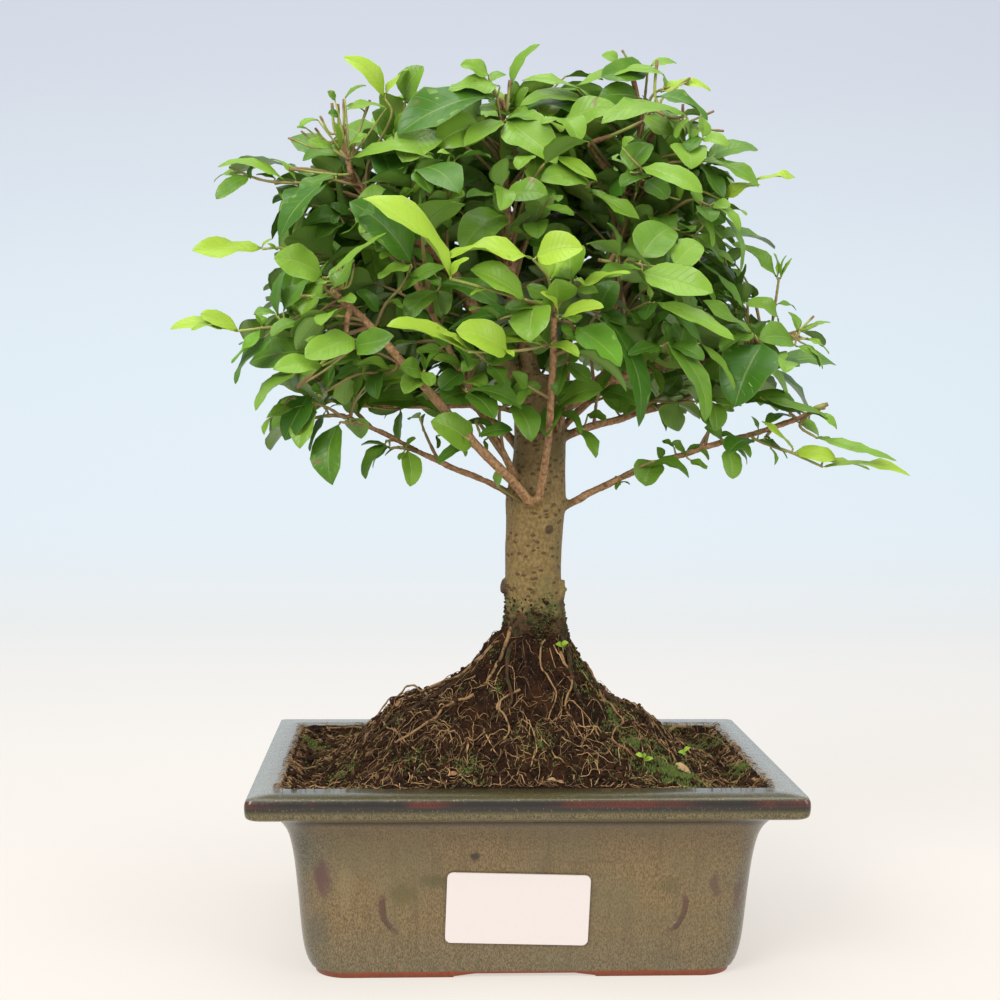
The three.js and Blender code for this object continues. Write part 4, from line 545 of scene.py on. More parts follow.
# Twigs deep inside the crown, and the limbs that they grow from in turn.
INNER_TWIGS = 80
INNER_LIMBS = (
    "leader_left", "leader_middle", "leader_right", "crown_back", "leader_middle", "back", "leader_right",
    "back_left", "back_right", "inner_left", "right_fork",
)
# The room in millimetres that an added leaf, and one of the solids' own, keeps from others, how far apart
# two leaves' probes may be and still be near, and how many pixels a leaf, one of the solids' leaves and a
# twig keep from places that the photograph shows.
LEAF_ROOM = 1.9
OWN_LEAF_ROOM = 1.6
NEAR_LEAVES = 26
LEAF_CLEARANCE = 8
OWN_LEAF_CLEARANCE = 6
TWIG_CLEARANCE = 5
# Pixels where the photograph shows gaps in the crown or beside it, and how far back they count.
BEHIND_CROWN = 120
OPEN = [
    (600, 448), (610, 438), (620, 430), (622, 448), (634, 436), (640, 424), (650, 440), (664, 434),
    (676, 428), (690, 430), (700, 438), (560, 55), (572, 62), (585, 60), (556, 68), (430, 80), (438, 78),
    (448, 76), (236, 268), (246, 272), (256, 266), (262, 278), (250, 286), (240, 292), (256, 296),
    (232, 282), (258, 212), (266, 200), (262, 222), (270, 212),
]
# The crown's outline as x and z, and how deep it is in front of and behind the trunk: at its edge, and how
# much more in its middle.
CROWN = np.array([
    (-84, 178), (-86, 200), (-80, 222), (-68, 236), (-50, 250), (-30, 257), (-5, 260), (22, 262), (44, 260),
    (54, 248), (64, 232), (66, 214), (68, 198), (74, 186), (78, 172), (64, 162), (48, 158), (30, 160),
    (10, 164), (-10, 160), (-30, 156), (-52, 158), (-70, 166),
])
CROWN_MIDDLE = 196
CROWN_HALF = (108, 88)
CROWN_FRONT = (20, 38)
CROWN_BACK = (22, 52)


# Vectors and curves


def unit(v):
    return v / max(np.linalg.norm(v), 1e-12)


def vec(*values):
    return np.array(values, float)


def sequence(seed):
    """The seeded draws that the solids' leaves were placed by."""
    mask = 0xFFFFFFFF
    state = seed & mask

    def draw():
        nonlocal state
        state = (state + 0x6D2B79F5) & mask
        t = ((state ^ (state >> 15)) * (state | 1)) & mask
        t = ((t + (((t ^ (t >> 7)) * (t | 61)) & mask)) & mask) ^ t
        return ((t ^ (t >> 14)) & mask) / 4294967296

    return draw


class Route:
    """A smooth curve through points, or a plain bow through three."""

    def __init__(self, points, bow=False):
        self.points = [np.array(p, float) for p in points]
        self.bow = bow

    def point(self, t):
        p = self.points
        if self.bow:
            return p[0] * (1 - t) ** 2 + p[1] * 2 * t * (1 - t) + p[2] * t * t
        spot = (len(p) - 1) * t
        start = min(int(math.floor(spot)), len(p) - 2)
        share = spot - start
        p1, p2 = p[start], p[start + 1]
        p0 = p[start - 1] if start > 0 else 2 * p[0] - p[1]
        p3 = p[start + 2] if start + 2 < len(p) else 2 * p[-1] - p[-2]
        d0, d1, d2 = (np.linalg.norm(b - a) ** 0.5 for a, b in ((p0, p1), (p1, p2), (p2, p3)))
        t1 = ((p1 - p0) / d0 - (p2 - p0) / (d0 + d1) + (p2 - p1) / d1) * d1
        t2 = ((p2 - p1) / d1 - (p3 - p1) / (d1 + d2) + (p3 - p2) / d2) * d1
        c2 = -3 * p1 + 3 * p2 - 2 * t1 - t2
        c3 = 2 * p1 - 2 * p2 + t1 + t2
        return p1 + t1 * share + c2 * share**2 + c3 * share**3

    def tangent(self, t):
        return unit(self.point(min(1, t + 1e-4)) - self.point(max(0, t - 1e-4)))

    def samples(self, count, start=0.0, end=1.0):
        return np.array([self.point(t) for t in np.linspace(start, end, count)])


def across_of(line):
    """Two directions square to a line, the first of them level."""
    level = vec(1, 0, 0) if abs(line[2]) > 0.95 else vec(0, 0, 1)
    first = unit(np.cross(line, level))
    return first, unit(np.cross(line, first))


# The camera, and what a pixel of its 1000 x 1000 view shows


CAMERA_AT = (-30.3, -497.6, 159.1)
CAMERA_PITCH = 3.127
CAMERA_YAW = -2.787
CAMERA_ROLL = 0.504
# The middle of the view and the focal length, in pixels, and the sensor's width in millimetres.
VIEW_MIDDLE = 500
FOCAL = 1648.5
SENSOR = 36


def camera_axes():
    pitch, yaw, roll = (math.radians(a) for a in (CAMERA_PITCH, CAMERA_YAW, CAMERA_ROLL))
    ahead = vec(-math.sin(yaw) * math.cos(pitch), math.cos(yaw) * math.cos(pitch), -math.sin(pitch))
    right = unit(np.cross(ahead, vec(0, 0, 1)))
    up = np.cross(right, ahead)
    side = math.cos(roll) * right + math.sin(roll) * up
    over = -math.sin(roll) * right + math.cos(roll) * up
    return side, over, ahead


EYE = vec(*CAMERA_AT)
SIDE, OVER, AHEAD = camera_axes()


def sight(px, py):
    """The direction in which the camera sees a pixel."""
    return unit(AHEAD * FOCAL + SIDE * (px - VIEW_MIDDLE) - OVER * (py - VIEW_MIDDLE))


def at_depth(px, py, y):
    """The place that a pixel shows at a depth y."""
    line = sight(px, py)
    return EYE + line * (y - EYE[1]) / line[1]


def pixel_of(points):
    away = np.atleast_2d(points) - EYE
    reach = away @ AHEAD / FOCAL
    return np.stack([VIEW_MIDDLE + away @ SIDE / reach, VIEW_MIDDLE - away @ OVER / reach], 1)


# Meshes


class Shape:
    """Points and faces that are gathered into one piece."""

    def __init__(self):
        self.points, self.faces, self.finishes, self.total = [], [], [], 0
        self.uv, self.marks = [], []

    def add(self, points, faces, finish=0, uv=None, marks=None):
        """finish: which of the piece's materials. marks: each point's tone, and 1 if it is an underside."""
        points = np.asarray(points, float)
        self.points.append(points)
        for face in faces:
            face = np.asarray(face, int)
            if len(face):
                self.faces.append(face + self.total)
                self.finishes.append(np.full(len(face), finish))
        self.uv.append(np.zeros((len(points), 2)) if uv is None else uv)
        self.marks.append(np.zeros((len(points), 2)) if marks is None else marks)
        self.total += len(points)

    def piece(self, name, materials, slot, replaced=(), creases=False, smooth=True, rides=True):
        mesh = bpy.data.meshes.new(name)
        points = (np.vstack(self.points) + MIDDLE) / 1000
        faces = [f for block in self.faces for f in block.tolist()]
        mesh.from_pydata(points.tolist(), [], faces)
        mesh.polygons.foreach_set("material_index", np.concatenate(self.finishes).astype(np.int32))
        mesh.polygons.foreach_set("use_smooth", np.full(len(faces), smooth))
        corners = np.zeros(len(mesh.loops), np.int32)
        mesh.loops.foreach_get("vertex_index", corners)
        layer = mesh.uv_layers.new(name="leaf")
        layer.data.foreach_set("uv", np.vstack(self.uv)[corners].astype(np.float32).ravel())
        marks = np.vstack(self.marks).astype(np.float32)
        for column, label in enumerate(("tone", "under")):
            attribute = mesh.attributes.new(label, "FLOAT", "POINT")
            attribute.data.foreach_set("value", marks[:, column])
        if creases:
            edge = np.abs(marks[:, 1] - 0.5) < 0.01
            ends = np.zeros(len(mesh.edges) * 2, np.int32)
            mesh.edges.foreach_get("vertices", ends)
            ends = ends.reshape(-1, 2)
            sharp = mesh.attributes.new("sharp_edge", "BOOLEAN", "EDGE")
            sharp.data.foreach_set("value", edge[ends[:, 0]] & edge[ends[:, 1]])
        for material in materials:
            mesh.materials.append(material)
        mesh.update()
        piece = bpy.data.objects.new(name, mesh)
        bpy.context.scene.collection.objects.link(piece)
        if rides:
            settle(piece, replaced)
        return piece


def settle(piece, replaced=()):
    """Makes a finished mesh a piece of the object."""
    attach(piece, "root")
    if replaced:
        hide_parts(*replaced)


def applied(piece, modifiers):
    """The piece with modifiers, given as (kind, settings), worked into its mesh."""
    for kind, settings in modifiers:
        modifier = piece.modifiers.new(kind.lower(), kind)
        for key, value in settings.items():
            setattr(modifier, key, value)
    bpy.context.view_layer.update()
    shown = piece.evaluated_get(bpy.context.evaluated_depsgraph_get())
    mesh = bpy.data.meshes.new_from_object(shown)
    old = piece.data
    piece.modifiers.clear()
    piece.data = mesh
    mesh.name = old.name
    bpy.data.meshes.remove(old)


def toned(tones):
    """The marks of points that have a tone and no underside."""
    return np.stack([tones, tones * 0], 1)


def tube(points, radii, sides):
    """Points and faces of a closed round tube along a line of points."""
    points = np.asarray(points, float)
    lines = np.gradient(points, axis=0)
    lines /= np.linalg.norm(lines, axis=1)[:, None]
    turns = np.arange(sides) / sides * 2 * math.pi
    side = across_of(lines[0])[0]
    rings = []
    for at, line, radius in zip(points, lines, radii):
        side = unit(side - line * side.dot(line))
        other = np.cross(line, side)
        ring = np.cos(turns)[:, None] * side + np.sin(turns)[:, None] * other
        rings.append(at + radius * ring)
    count = len(points)
    ends = np.array([points[0], points[-1]])
    spots = np.vstack([*rings, ends])
    a = np.arange(count - 1)[:, None] * sides + np.arange(sides)
    b = np.arange(count - 1)[:, None] * sides + (np.arange(sides) + 1) % sides
    walls = np.stack([a, b, b + sides, a + sides], -1).reshape(-1, 4)
    i = np.arange(sides)
    j = (i + 1) % sides
    last = (count - 1) * sides
    foot = np.stack([np.full(sides, count * sides), j, i], -1)
    head = np.stack([np.full(sides, count * sides + 1), i + last, j + last], -1)
    return spots, [walls, np.vstack([foot, head])]


def taper(start, end, count):
    return np.linspace(start, end, count)


# Materials


class Shade:
    """One value in a material's nodes. Sums on it add the nodes that work them out."""

    def __init__(self, tree, socket):
        self.tree, self.socket = tree, socket

    def into(self, target):
        self.tree.links.new(self.socket, target)

    def math(self, operation, *others):
        node = self.tree.nodes.new("ShaderNodeMath")
        node.operation = operation
        for place, value in enumerate((self, *others)):
            if isinstance(value, Shade):
                value.into(node.inputs[place])
            else:
                node.inputs[place].default_value = value
        return Shade(self.tree, node.outputs[0])

    def __add__(self, other):
        return self.math("ADD", other)

    def __sub__(self, other):
        return self.math("SUBTRACT", other)

    def __mul__(self, other):
        return self.math("MULTIPLY", other)

    def __abs__(self):
        return self.math("ABSOLUTE")

    def __rsub__(self, other):
        return self * -1.0 + other

    def between(self, low, high):
        """0 at low, 1 at high, and smooth between them."""
        node = self.tree.nodes.new("ShaderNodeMapRange")
        node.interpolation_type = "SMOOTHSTEP"
        self.into(node.inputs["Value"])
        node.inputs["From Min"].default_value = low
        node.inputs["From Max"].default_value = high
        return Shade(self.tree, node.outputs[0])


class Paint:
    """A material, with its place in millimetres round the middle of the pot as x, y and z."""

    def __init__(self, name, **settings):
        self.material = bpy.data.materials.new(name)
        self.material.use_nodes = True
        self.tree = self.material.node_tree
        self.shader = self.tree.nodes["Principled BSDF"]
        for key, value in settings.items():
            self.shader.inputs[key.replace("_", " ")].default_value = value
        self.spot = self.tree.nodes.new("ShaderNodeTexCoord").outputs["Object"]
        parts = self.tree.nodes.new("ShaderNodeSeparateXYZ")
        self.tree.links.new(self.spot, parts.inputs[0])
        self.x, self.y, self.z = (
            Shade(self.tree, parts.outputs[i]) * 1000.0 - float(MIDDLE[i]) for i in range(3)
        )

    def placed(self, stretch, shift):
        node = self.tree.nodes.new("ShaderNodeMapping")
        self.tree.links.new(self.spot, node.inputs["Vector"])
        node.inputs["Scale"].default_value = stretch
        node.inputs["Location"].default_value = (shift, shift * 0.7, shift * 1.3)
        return node.outputs[0]

    def noise(self, size, detail=3.0, rough=0.55, stretch=(1, 1, 1), shift=0.0):
        """Clouds from 0 to 1, of a size in millimetres."""
        node = self.tree.nodes.new("ShaderNodeTexNoise")
        self.tree.links.new(self.placed(stretch, shift), node.inputs["Vector"])
        node.inputs["Scale"].default_value = 1000 / size
        node.inputs["Detail"].default_value = detail
        node.inputs["Roughness"].default_value = rough
        return Shade(self.tree, node.outputs[0])

    def cells(self, size, stretch=(1, 1, 1), shift=0.0):
        """The distance to the nearest of scattered points, in shares of their spacing."""
        node = self.tree.nodes.new("ShaderNodeTexVoronoi")
        self.tree.links.new(self.placed(stretch, shift), node.inputs["Vector"])
        node.inputs["Scale"].default_value = 1000 / size
        return Shade(self.tree, node.outputs["Distance"])

    def mark(self, name):
        node = self.tree.nodes.new("ShaderNodeAttribute")
        node.attribute_name = name
        return Shade(self.tree, node.outputs["Fac"])

    def leaf_place(self):
        node = self.tree.nodes.new("ShaderNodeUVMap")
        node.uv_map = "leaf"
        parts = self.tree.nodes.new("ShaderNodeSeparateXYZ")
        self.tree.links.new(node.outputs[0], parts.inputs[0])
        return Shade(self.tree, parts.outputs[0]), Shade(self.tree, parts.outputs[1])

    def mix(self, share, first, second):
        node = self.tree.nodes.new("ShaderNodeMix")
        node.data_type = "RGBA"
        share.into(node.inputs["Factor"])
        for socket, colour in ((node.inputs[6], first), (node.inputs[7], second)):
            if isinstance(colour, Shade):
                colour.into(socket)
            else:
                socket.default_value = (*colour, 1)
        return Shade(self.tree, node.outputs[2])

    def done(self, colour, roughness=None, relief=(), through=None, share=0.0):
        """relief: pairs of a height and how many millimetres deep. through: what shines through the share."""
        colour.into(self.shader.inputs["Base Color"])
        if roughness:
            roughness.into(self.shader.inputs["Roughness"])
        last = None
        for height, deep in relief:
            node = self.tree.nodes.new("ShaderNodeBump")
            node.inputs["Distance"].default_value = deep / 1000
            height.into(node.inputs["Height"])
            if last:
                self.tree.links.new(last, node.inputs["Normal"])
            last = node.outputs[0]
        if last:
            self.tree.links.new(last, self.shader.inputs["Normal"])
        if through:
            glow = self.tree.nodes.new("ShaderNodeBsdfTranslucent")
            through.into(glow.inputs["Color"])
            both = self.tree.nodes.new("ShaderNodeMixShader")
            both.inputs[0].default_value = share
            self.tree.links.new(self.shader.outputs[0], both.inputs[1])
            self.tree.links.new(glow.outputs[0], both.inputs[2])
            out = self.tree.nodes["Material Output"]
            self.tree.links.new(both.outputs[0], out.inputs["Surface"])
        return self.material


def near_spot(p, spot, size):
    """1 at a point in millimetres, fading to 0 at size away from it."""
    dx, dy, dz = p.x - spot[0], p.y - spot[1], p.z - spot[2]
    away = (dx * dx + dy * dy + dz * dz).math("SQRT")
    return away.between(size, size * 0.55)


def blot(p, wander, spot, half):
    """A soft smear on the front wall, 1 in its middle."""
    dx = (p.x + wander * 5.0 - (spot[0] + 2.5)) * (1 / half[0])
    dz = (p.z + wander * -6.0 - (spot[1] - 3)) * (1 / half[1])
    return (dx * dx + dz * dz).math("SQRT").between(1.1, 0.35) * p.y.between(-30, -36)


def moulded_arc(p, wander, side):
    """An upright arc of low relief at one side of the front wall, where dark glaze has gathered."""
    dx, dz = p.x - (2.2 + side * 32.5), p.z - 21.5
    away = abs((dx * dx + dz * dz).math("SQRT") - 10.0 + (wander - 0.5) * 1.5)
    part = (dx * float(side)).between(4.5, 6.5) * p.z.between(12.5, 15) * p.z.between(25.5, 22)
    return away.between(1.1, 0.35) * part * p.y.between(-30, -36)


def glaze_paint():
    p = Paint("glaze", Roughness=0.3, Coat_Weight=0.3, Coat_Roughness=0.07, Specular_IOR_Level=0.4)
    fine = p.noise(0.34, 3, 0.7, (1, 1, 0.45))
    speck = p.cells(0.62, (1, 1, 0.5))
    bead = p.cells(1.5, shift=0.9)
    cloud = p.noise(26, 3, 0.5)
    drip = p.noise(2.6, 3, 0.6, (1, 1, 0.1), 3.1)
    wander = p.noise(5, 3, 0.6, shift=1.2)
    front = (p.y * -1.0 - abs(p.x) + 18.5).between(-2.5, 2.5)
    body = p.mix(fine.between(0.38, 0.62), (0.112, 0.07, 0.026), (0.222, 0.15, 0.064))
    body = p.mix(cloud.between(0.4, 0.7) * 0.55, body, (0.125, 0.105, 0.05))
    body = p.mix(drip.between(0.5, 0.72) * 0.35, body, (0.085, 0.055, 0.022))
    body = p.mix(speck.between(0.3, 0.14) * (p.z.between(36, 6) * 0.7 + 0.12), body, (0.035, 0.035, 0.026))
    # Painted shade: the wall darkens where it turns round its side corners, and along the side walls.
    body = p.mix(abs(p.x).between(57, 64) * 0.5, body, (0.06, 0.058, 0.042))
    corner = abs(p.x).between(50, 64) * p.z.between(47, 40)
    low = (p.z + cloud * 16.0).between(26, 10)
    blue = p.mix(fine.between(0.4, 0.62), (0.042, 0.044, 0.03), (0.165, 0.152, 0.1))
    body = p.mix(low * fine.between(0.3, 0.6) * 0.5, body, blue)
    body = p.mix(corner * cloud.between(0.35, 0.6) * 0.75, body, blue)
    for spot, half, strength, tint in GLAZE_SMEARS:
        smear = blot(p, wander, spot, half) * (fine.between(0.35, 0.6) * 0.4 + 0.6)
        body = p.mix(smear * strength, body, tint)
    for side in (-1, 1):
        arc = moulded_arc(p, wander, side)
        body = p.mix(arc * 0.75, body, (0.075, 0.025, 0.02))
    green = p.mix(speck.between(0.3, 0.12), (0.06, 0.052, 0.022), (0.17, 0.125, 0.04))
    green = p.mix(bead.between(0.24, 0.1) * 0.6, green, (0.26, 0.21, 0.085))
    grey = p.mix(fine.between(0.4, 0.65), (0.15, 0.145, 0.12), (0.3, 0.285, 0.225))
    grey = p.mix(speck.between(0.26, 0.1) * 0.7, grey, (0.08, 0.085, 0.07))
    rim = p.mix(front, grey, green)
    under = p.mix(fine.between(0.4, 0.6), (0.055, 0.047, 0.018), (0.17, 0.13, 0.055))
    body = p.mix(p.z.between(47.6, 48.2), body, under)
    outer = (abs(p.x) - 70.0).math("MAXIMUM", abs(p.y) - 51.5).between(-0.5, 0.5)
    # Painted shade: the inside of the wall between the soil and the rim is made near black.
    body = p.mix((1.0 - outer) * p.z.between(44, 46), body, (0.03, 0.026, 0.014))
    dark_band = (p.z + fine * 1.8).between(50.6, 52.2) * outer
    black = p.mix(speck.between(0.3, 0.14), (0.018, 0.016, 0.01), (0.1, 0.075, 0.036))
    body = p.mix(dark_band, body, black)
    red_band = (p.z + fine * 0.7).between(51.9, 52.5) * outer
    red = p.mix(fine, (0.035, 0.007, 0.004), (0.12, 0.026, 0.014))
    body = p.mix(red_band, body, p.mix(cloud.between(0.42, 0.6), (0.016, 0.012, 0.009), red))
    body = p.mix((p.z + fine * 0.5).between(53.6, 54.0), body, rim)
    joint = p.z.between(46.7, 47.0) * p.z.between(47.6, 47.3)
    body = p.mix(joint * 0.7, body, (0.06, 0.028, 0.014))
    ragged = (p.z + p.noise(4, 3) * 1.2).between(2.4, 2.2)
    clay = p.mix(p.noise(0.9, 3), (0.15, 0.026, 0.006), (0.33, 0.072, 0.017))
    colour = p.mix(ragged, body, clay)
    rough = ragged * 0.45 + fine * 0.12 + 0.22
    arcs = moulded_arc(p, wander, -1) + moulded_arc(p, wander, 1)
    return p.done(colour, rough, [(fine, 0.05), (p.noise(6, 2), 0.3), (arcs, 0.5)])


def paper_paint():
    p = Paint("label_paper", Roughness=0.55)
    fibre = p.noise(0.5, 4, 0.7)
    return p.done(p.mix(fibre, (0.66, 0.595, 0.57), (0.72, 0.65, 0.62)), None, [(fibre, 0.02)])


def plastic_paint():
    p = Paint("drain_mesh", Roughness=0.6)
    return p.done(p.mix(p.noise(2), (0.01, 0.012, 0.01), (0.02, 0.024, 0.02)), None, [(p.noise(0.6), 0.03)])


def soil_paint():
    p = Paint("soil", Roughness=0.95, Specular_IOR_Level=0.12)
    grain = p.noise(1.1, 4, 0.7)
    patch = p.noise(9, 2)
    colour = p.mix(grain.between(0.35, 0.65), (0.006, 0.003, 0.0015), (0.032, 0.0135, 0.006))
    colour = p.mix(patch.between(0.5, 0.68) * 0.5, colour, (0.06, 0.024, 0.009))
    grit = p.cells(1.3, shift=2.0)
    colour = p.mix(grit.between(0.16, 0.08) * 0.7, colour, (0.2, 0.13, 0.075))
    return p.done(colour, None, [(grain, 0.7), (p.noise(0.35, 3, 0.7), 0.25)])


def bark_paint():
    p = Paint("bark", Roughness=0.66, Specular_IOR_Level=0.3)
    grain = p.noise(0.9, 4, 0.6, (1, 1, 0.8))
    pore = p.cells(2.1, (0.75, 0.75, 1.35))
    fleck = p.cells(1.1, shift=1.7)
    patch = p.noise(9, 3, 0.6, (1, 1, 0.6))
    dx, dy = p.x - 5.0, p.y - 0.5
    limb = (dx * dx + dy * dy).math("SQRT").between(9.6, 12) * p.z.between(126, 131)
    limb = limb.math("MAXIMUM", p.z.between(172, 190))
    colour = p.mix(grain.between(0.35, 0.66), (0.142, 0.09, 0.03), (0.235, 0.158, 0.055))
    colour = p.mix(patch.between(0.5, 0.72) * 0.5, colour, (0.125, 0.115, 0.035))
    # Painted shade: the trunk darkens upwards under its limbs and crown.
    crown_shade = p.z.between(132, 150)
    colour = p.mix(crown_shade * 0.3, colour, (0.085, 0.06, 0.03))
    red = p.mix(grain.between(0.35, 0.66), (0.235, 0.12, 0.05), (0.42, 0.25, 0.12))
    red = p.mix(patch.between(0.46, 0.66) * 0.35, red, (0.17, 0.08, 0.036))
    red = p.mix(fleck.between(0.22, 0.1) * 0.35, red, (0.5, 0.36, 0.24))
    colour = p.mix(limb, colour, red)
    colour = p.mix(pore.between(0.3, 0.2) * (1.0 - limb * 0.6), colour, (0.1, 0.05, 0.02))
    colour = p.mix(fleck.between(0.16, 0.08) * 0.5, colour, (0.08, 0.04, 0.017))
    moss = p.mix(p.noise(0.8, 3), (0.025, 0.038, 0.007), (0.095, 0.115, 0.02))
    wet = (p.z + p.noise(5, 3) * 14.0).between(112, 105)
    colour = p.mix(wet * p.noise(2.4, 3).between(0.4, 0.56), colour, moss)
    collar = (p.z + p.noise(4, 3) * 12.0).between(107, 101)
    dark = p.mix(p.noise(1.6, 4, 0.7).between(0.35, 0.65), (0.01, 0.006, 0.003), (0.1, 0.042, 0.017))
    dark = p.mix(p.noise(3, 3, shift=2.2).between(0.46, 0.6) * 0.55, dark, (0.034, 0.044, 0.008))
    colour = p.mix(collar, colour, dark)
    for spot, size in DARK_SPOTS:
        colour = p.mix(near_spot(p, spot, size) * 0.85, colour, (0.05, 0.026, 0.013))
    crust = p.noise(1.4, 4, 0.7) * collar
    rough = collar * 0.25 + 0.66
    return p.done(colour, rough, [(grain, 0.16), (pore.between(0.34, 0.18), 0.25), (crust, 1.1)])


def twig_paint(name, young, old):
    p = Paint(name, Roughness=0.6, Specular_IOR_Level=0.35)
    grain = p.noise(1.2, 3, 0.6)
    tone = p.mark("tone")
    colour = p.mix(tone, old, young)
    return p.done(p.mix(grain.between(0.45, 0.75) * 0.5, colour, old), None, [(grain, 0.12)])


def leaf_paint(name, dark, light, rib, pale, roughness):
    """A leaf with a pale midrib and side veins, darker or lighter from leaf to leaf, and a pale underside.
    Its tone carries painted shade and light as well as the leaf's own colour.
    """
    p = Paint(name, Roughness=roughness, Specular_IOR_Level=0.32)
    u, v = p.leaf_place()
    tone, under = p.mark("tone"), p.mark("under")
    side = abs(v)
    vein = abs(((u - side * 0.2) * 9.0).math("FRACT") - 0.5)
    vein = vein.between(0.41, 0.5)
    middle = side.between(0.075, 0.02)
    edge = side.between(0.9, 1.0)
    cloud = p.noise(5, 3)
    colour = p.mix((tone + (cloud - 0.5) * 0.45).between(0, 1), dark, light)
    colour = p.mix(vein * 0.045, colour, rib)
    colour = p.mix(middle * 0.24, colour, rib)
    colour = p.mix(edge * 0.16, colour, rib)
    worn = p.noise(7, 2, 0.5, shift=4.0).between(0.71, 0.76)
    colour = p.mix(worn * 0.7, colour, (0.22, 0.14, 0.05))
    colour = p.mix(under.between(0.5, 0.9), colour, pale)
    glow = p.mix(middle * 0.4, light, rib)
    puff = p.noise(2.6, 2) * 0.5 + vein * -0.35 + middle * -0.6
    rough = p.noise(4, 2) * 0.2 + (roughness - 0.1)
    return p.done(colour, rough, [(puff, 0.14)], glow, 0.22)


def crumb_paint():
    p = Paint("soil_crumb", Roughness=0.95, Specular_IOR_Level=0.12)
    colour = p.mix(p.mark("tone").between(0.1, 1), (0.011, 0.005, 0.0025), (0.055, 0.022, 0.0095))
    return p.done(p.mix(p.noise(0.6), colour, (0.035, 0.016, 0.007)), None, [(p.noise(0.4, 3, 0.7), 0.2)])


def root_paint():
    p = Paint("feeder_root", Roughness=0.85, Specular_IOR_Level=0.2)
    tone = p.mark("tone")
    colour = p.mix(tone, (0.04, 0.014, 0.005), (0.54, 0.325, 0.145))
    return p.done(p.mix(p.noise(2.2, 3).between(0.48, 0.62) * 0.8, colour, (0.04, 0.022, 0.011)))


def moss_paint():
    p = Paint("moss", Roughness=0.9)
    tone = p.mark("tone")
    return p.done(p.mix(tone, (0.016, 0.028, 0.004), (0.125, 0.165, 0.018)))


def dry_paint():
    p = Paint("dry_leaf", Roughness=0.8)
    tone = p.mark("tone")
    colour = p.mix(tone, (0.2, 0.075, 0.025), (0.38, 0.24, 0.11))
    return p.done(p.mix(p.noise(1.5, 3).between(0.5, 0.7) * 0.5, colour, (0.12, 0.05, 0.02)))


GLAZE = glaze_paint()
PAPER = paper_paint()
PLASTIC = plastic_paint()
SOIL = soil_paint()
BARK = bark_paint()
TWIG = twig_paint("green_twig", (0.34, 0.4, 0.08), (0.2, 0.115, 0.055))
LEAF_TONES = {
    "mature": ((0.048, 0.15, 0.011), (0.22, 0.4, 0.035), (0.44, 0.56, 0.16), (0.2, 0.34, 0.07), 0.34),
    "young": ((0.13, 0.32, 0.018), (0.37, 0.545, 0.045), (0.5, 0.62, 0.13), (0.34, 0.5, 0.1), 0.4),
    "small": ((0.05, 0.145, 0.01), (0.22, 0.4, 0.035), (0.42, 0.54, 0.15), (0.2, 0.34, 0.07), 0.36),
}
LEAVES = {kind: leaf_paint(f"leaf_{kind}", *tones) for kind, tones in LEAF_TONES.items()}
CRUMB = crumb_paint()
ROOT = root_paint()
MOSS = moss_paint()
DRY = dry_paint()


# The pot


def rounded(half_x, half_y, radius, z, corner_steps, side_steps=1):
    """A rectangle with round corners at height z, anticlockwise from above."""
    points = []
    corners = [(1, -1, -90), (1, 1, 0), (-1, 1, 90), (-1, -1, 180)]
    for c, (sx, sy, start) in enumerate(corners):
        turns = np.radians(start + np.linspace(0, 90, corner_steps + 1))
        for turn in turns:
            x = sx * (half_x - radius) + radius * math.cos(turn)
            y = sy * (half_y - radius) + radius * math.sin(turn)
            points.append((x, y, z))
        nx, ny, _ = corners[(c + 1) % 4]
        run = (2 * (half_x - radius) * nx, 0) if c % 2 else (0, 2 * (half_y - radius) * ny)
        for i in range(1, side_steps):
            share = i / side_steps
            points.append((x + run[0] * share, y + run[1] * share, z))
    return np.array(points)


def lofted(rings):
    """Points and faces through a stack of rings, with both ends closed."""
    count = len(rings[0])
    a = np.arange(len(rings) - 1)[:, None] * count + np.arange(count)
    b = np.arange(len(rings) - 1)[:, None] * count + (np.arange(count) + 1) % count
    walls = np.stack([a, b, b + count, a + count], -1).reshape(-1, 4)
    top = (len(rings) - 1) * count
    ends = [np.arange(count)[::-1][None], (np.arange(count) + top)[None]]
    return np.vstack(rings), [walls, *ends]


def smoothed(rows, per_row):
    """More rows, on a smooth curve through the given ones."""
    route = Route(rows)
    return route.samples((len(rows) - 1) * per_row + 1)


def make_pot():
    wall = smoothed(POT_OUTSIDE[2:10], 4)
    lip = smoothed(POT_OUTSIDE[9:], 4)[1:]
    inner = smoothed(POT_INSIDE[:3], 3)
    rows = [*POT_OUTSIDE[:2], *wall, *lip, *inner, *POT_INSIDE[3:]]
    rings = [
        rounded(RIM_HALF[0] - inset, RIM_HALF[1] - front, max(corner, 0.5), z, 10, 12)
        for inset, z, corner, front in rows
    ]
    body = Shape()
    body.add(*lofted(rings))
    pot = body.piece("glazed_pot", [GLAZE], None, rides=False)
    foot_inset = POT_OUTSIDE[0][0] + 8
    hollow = RIM_HALF[0] - foot_inset, RIM_HALF[1] - foot_inset
    # The hollow under the foot ring, its openings at the front and back and the sides, and the drain holes.
    cutters = [lofted([rounded(*hollow, 6, z, 6) for z in (-1, 3)])]
    for sides in (((20, 80), (20, 80), (14, 80)), ((80, 16), (80, 16), (80, 10))):
        cutters.append(lofted([rounded(*half, 0.4, z, 2) for half, z in zip(sides, (-1, 0.3, 1.1))]))
    for x in (-DRAIN_SPREAD, DRAIN_SPREAD):
        cutters.append(tube([(x, 0, 1), (x, 0, 10.5)], (DRAIN_RADIUS, DRAIN_RADIUS), 32))
    tools = []
    for i, (points, faces) in enumerate(cutters):
        shape = Shape()
        shape.add(points, faces)
        tools.append(shape.piece(f"cutter_{i}", [], None, rides=False))
    cuts = [("BOOLEAN", {"operation": "DIFFERENCE", "object": tool, "solver": "EXACT"}) for tool in tools]
    applied(pot, cuts)
    for tool in tools:
        bpy.data.objects.remove(tool)
    settle(pot, ["pot"])


# The soil


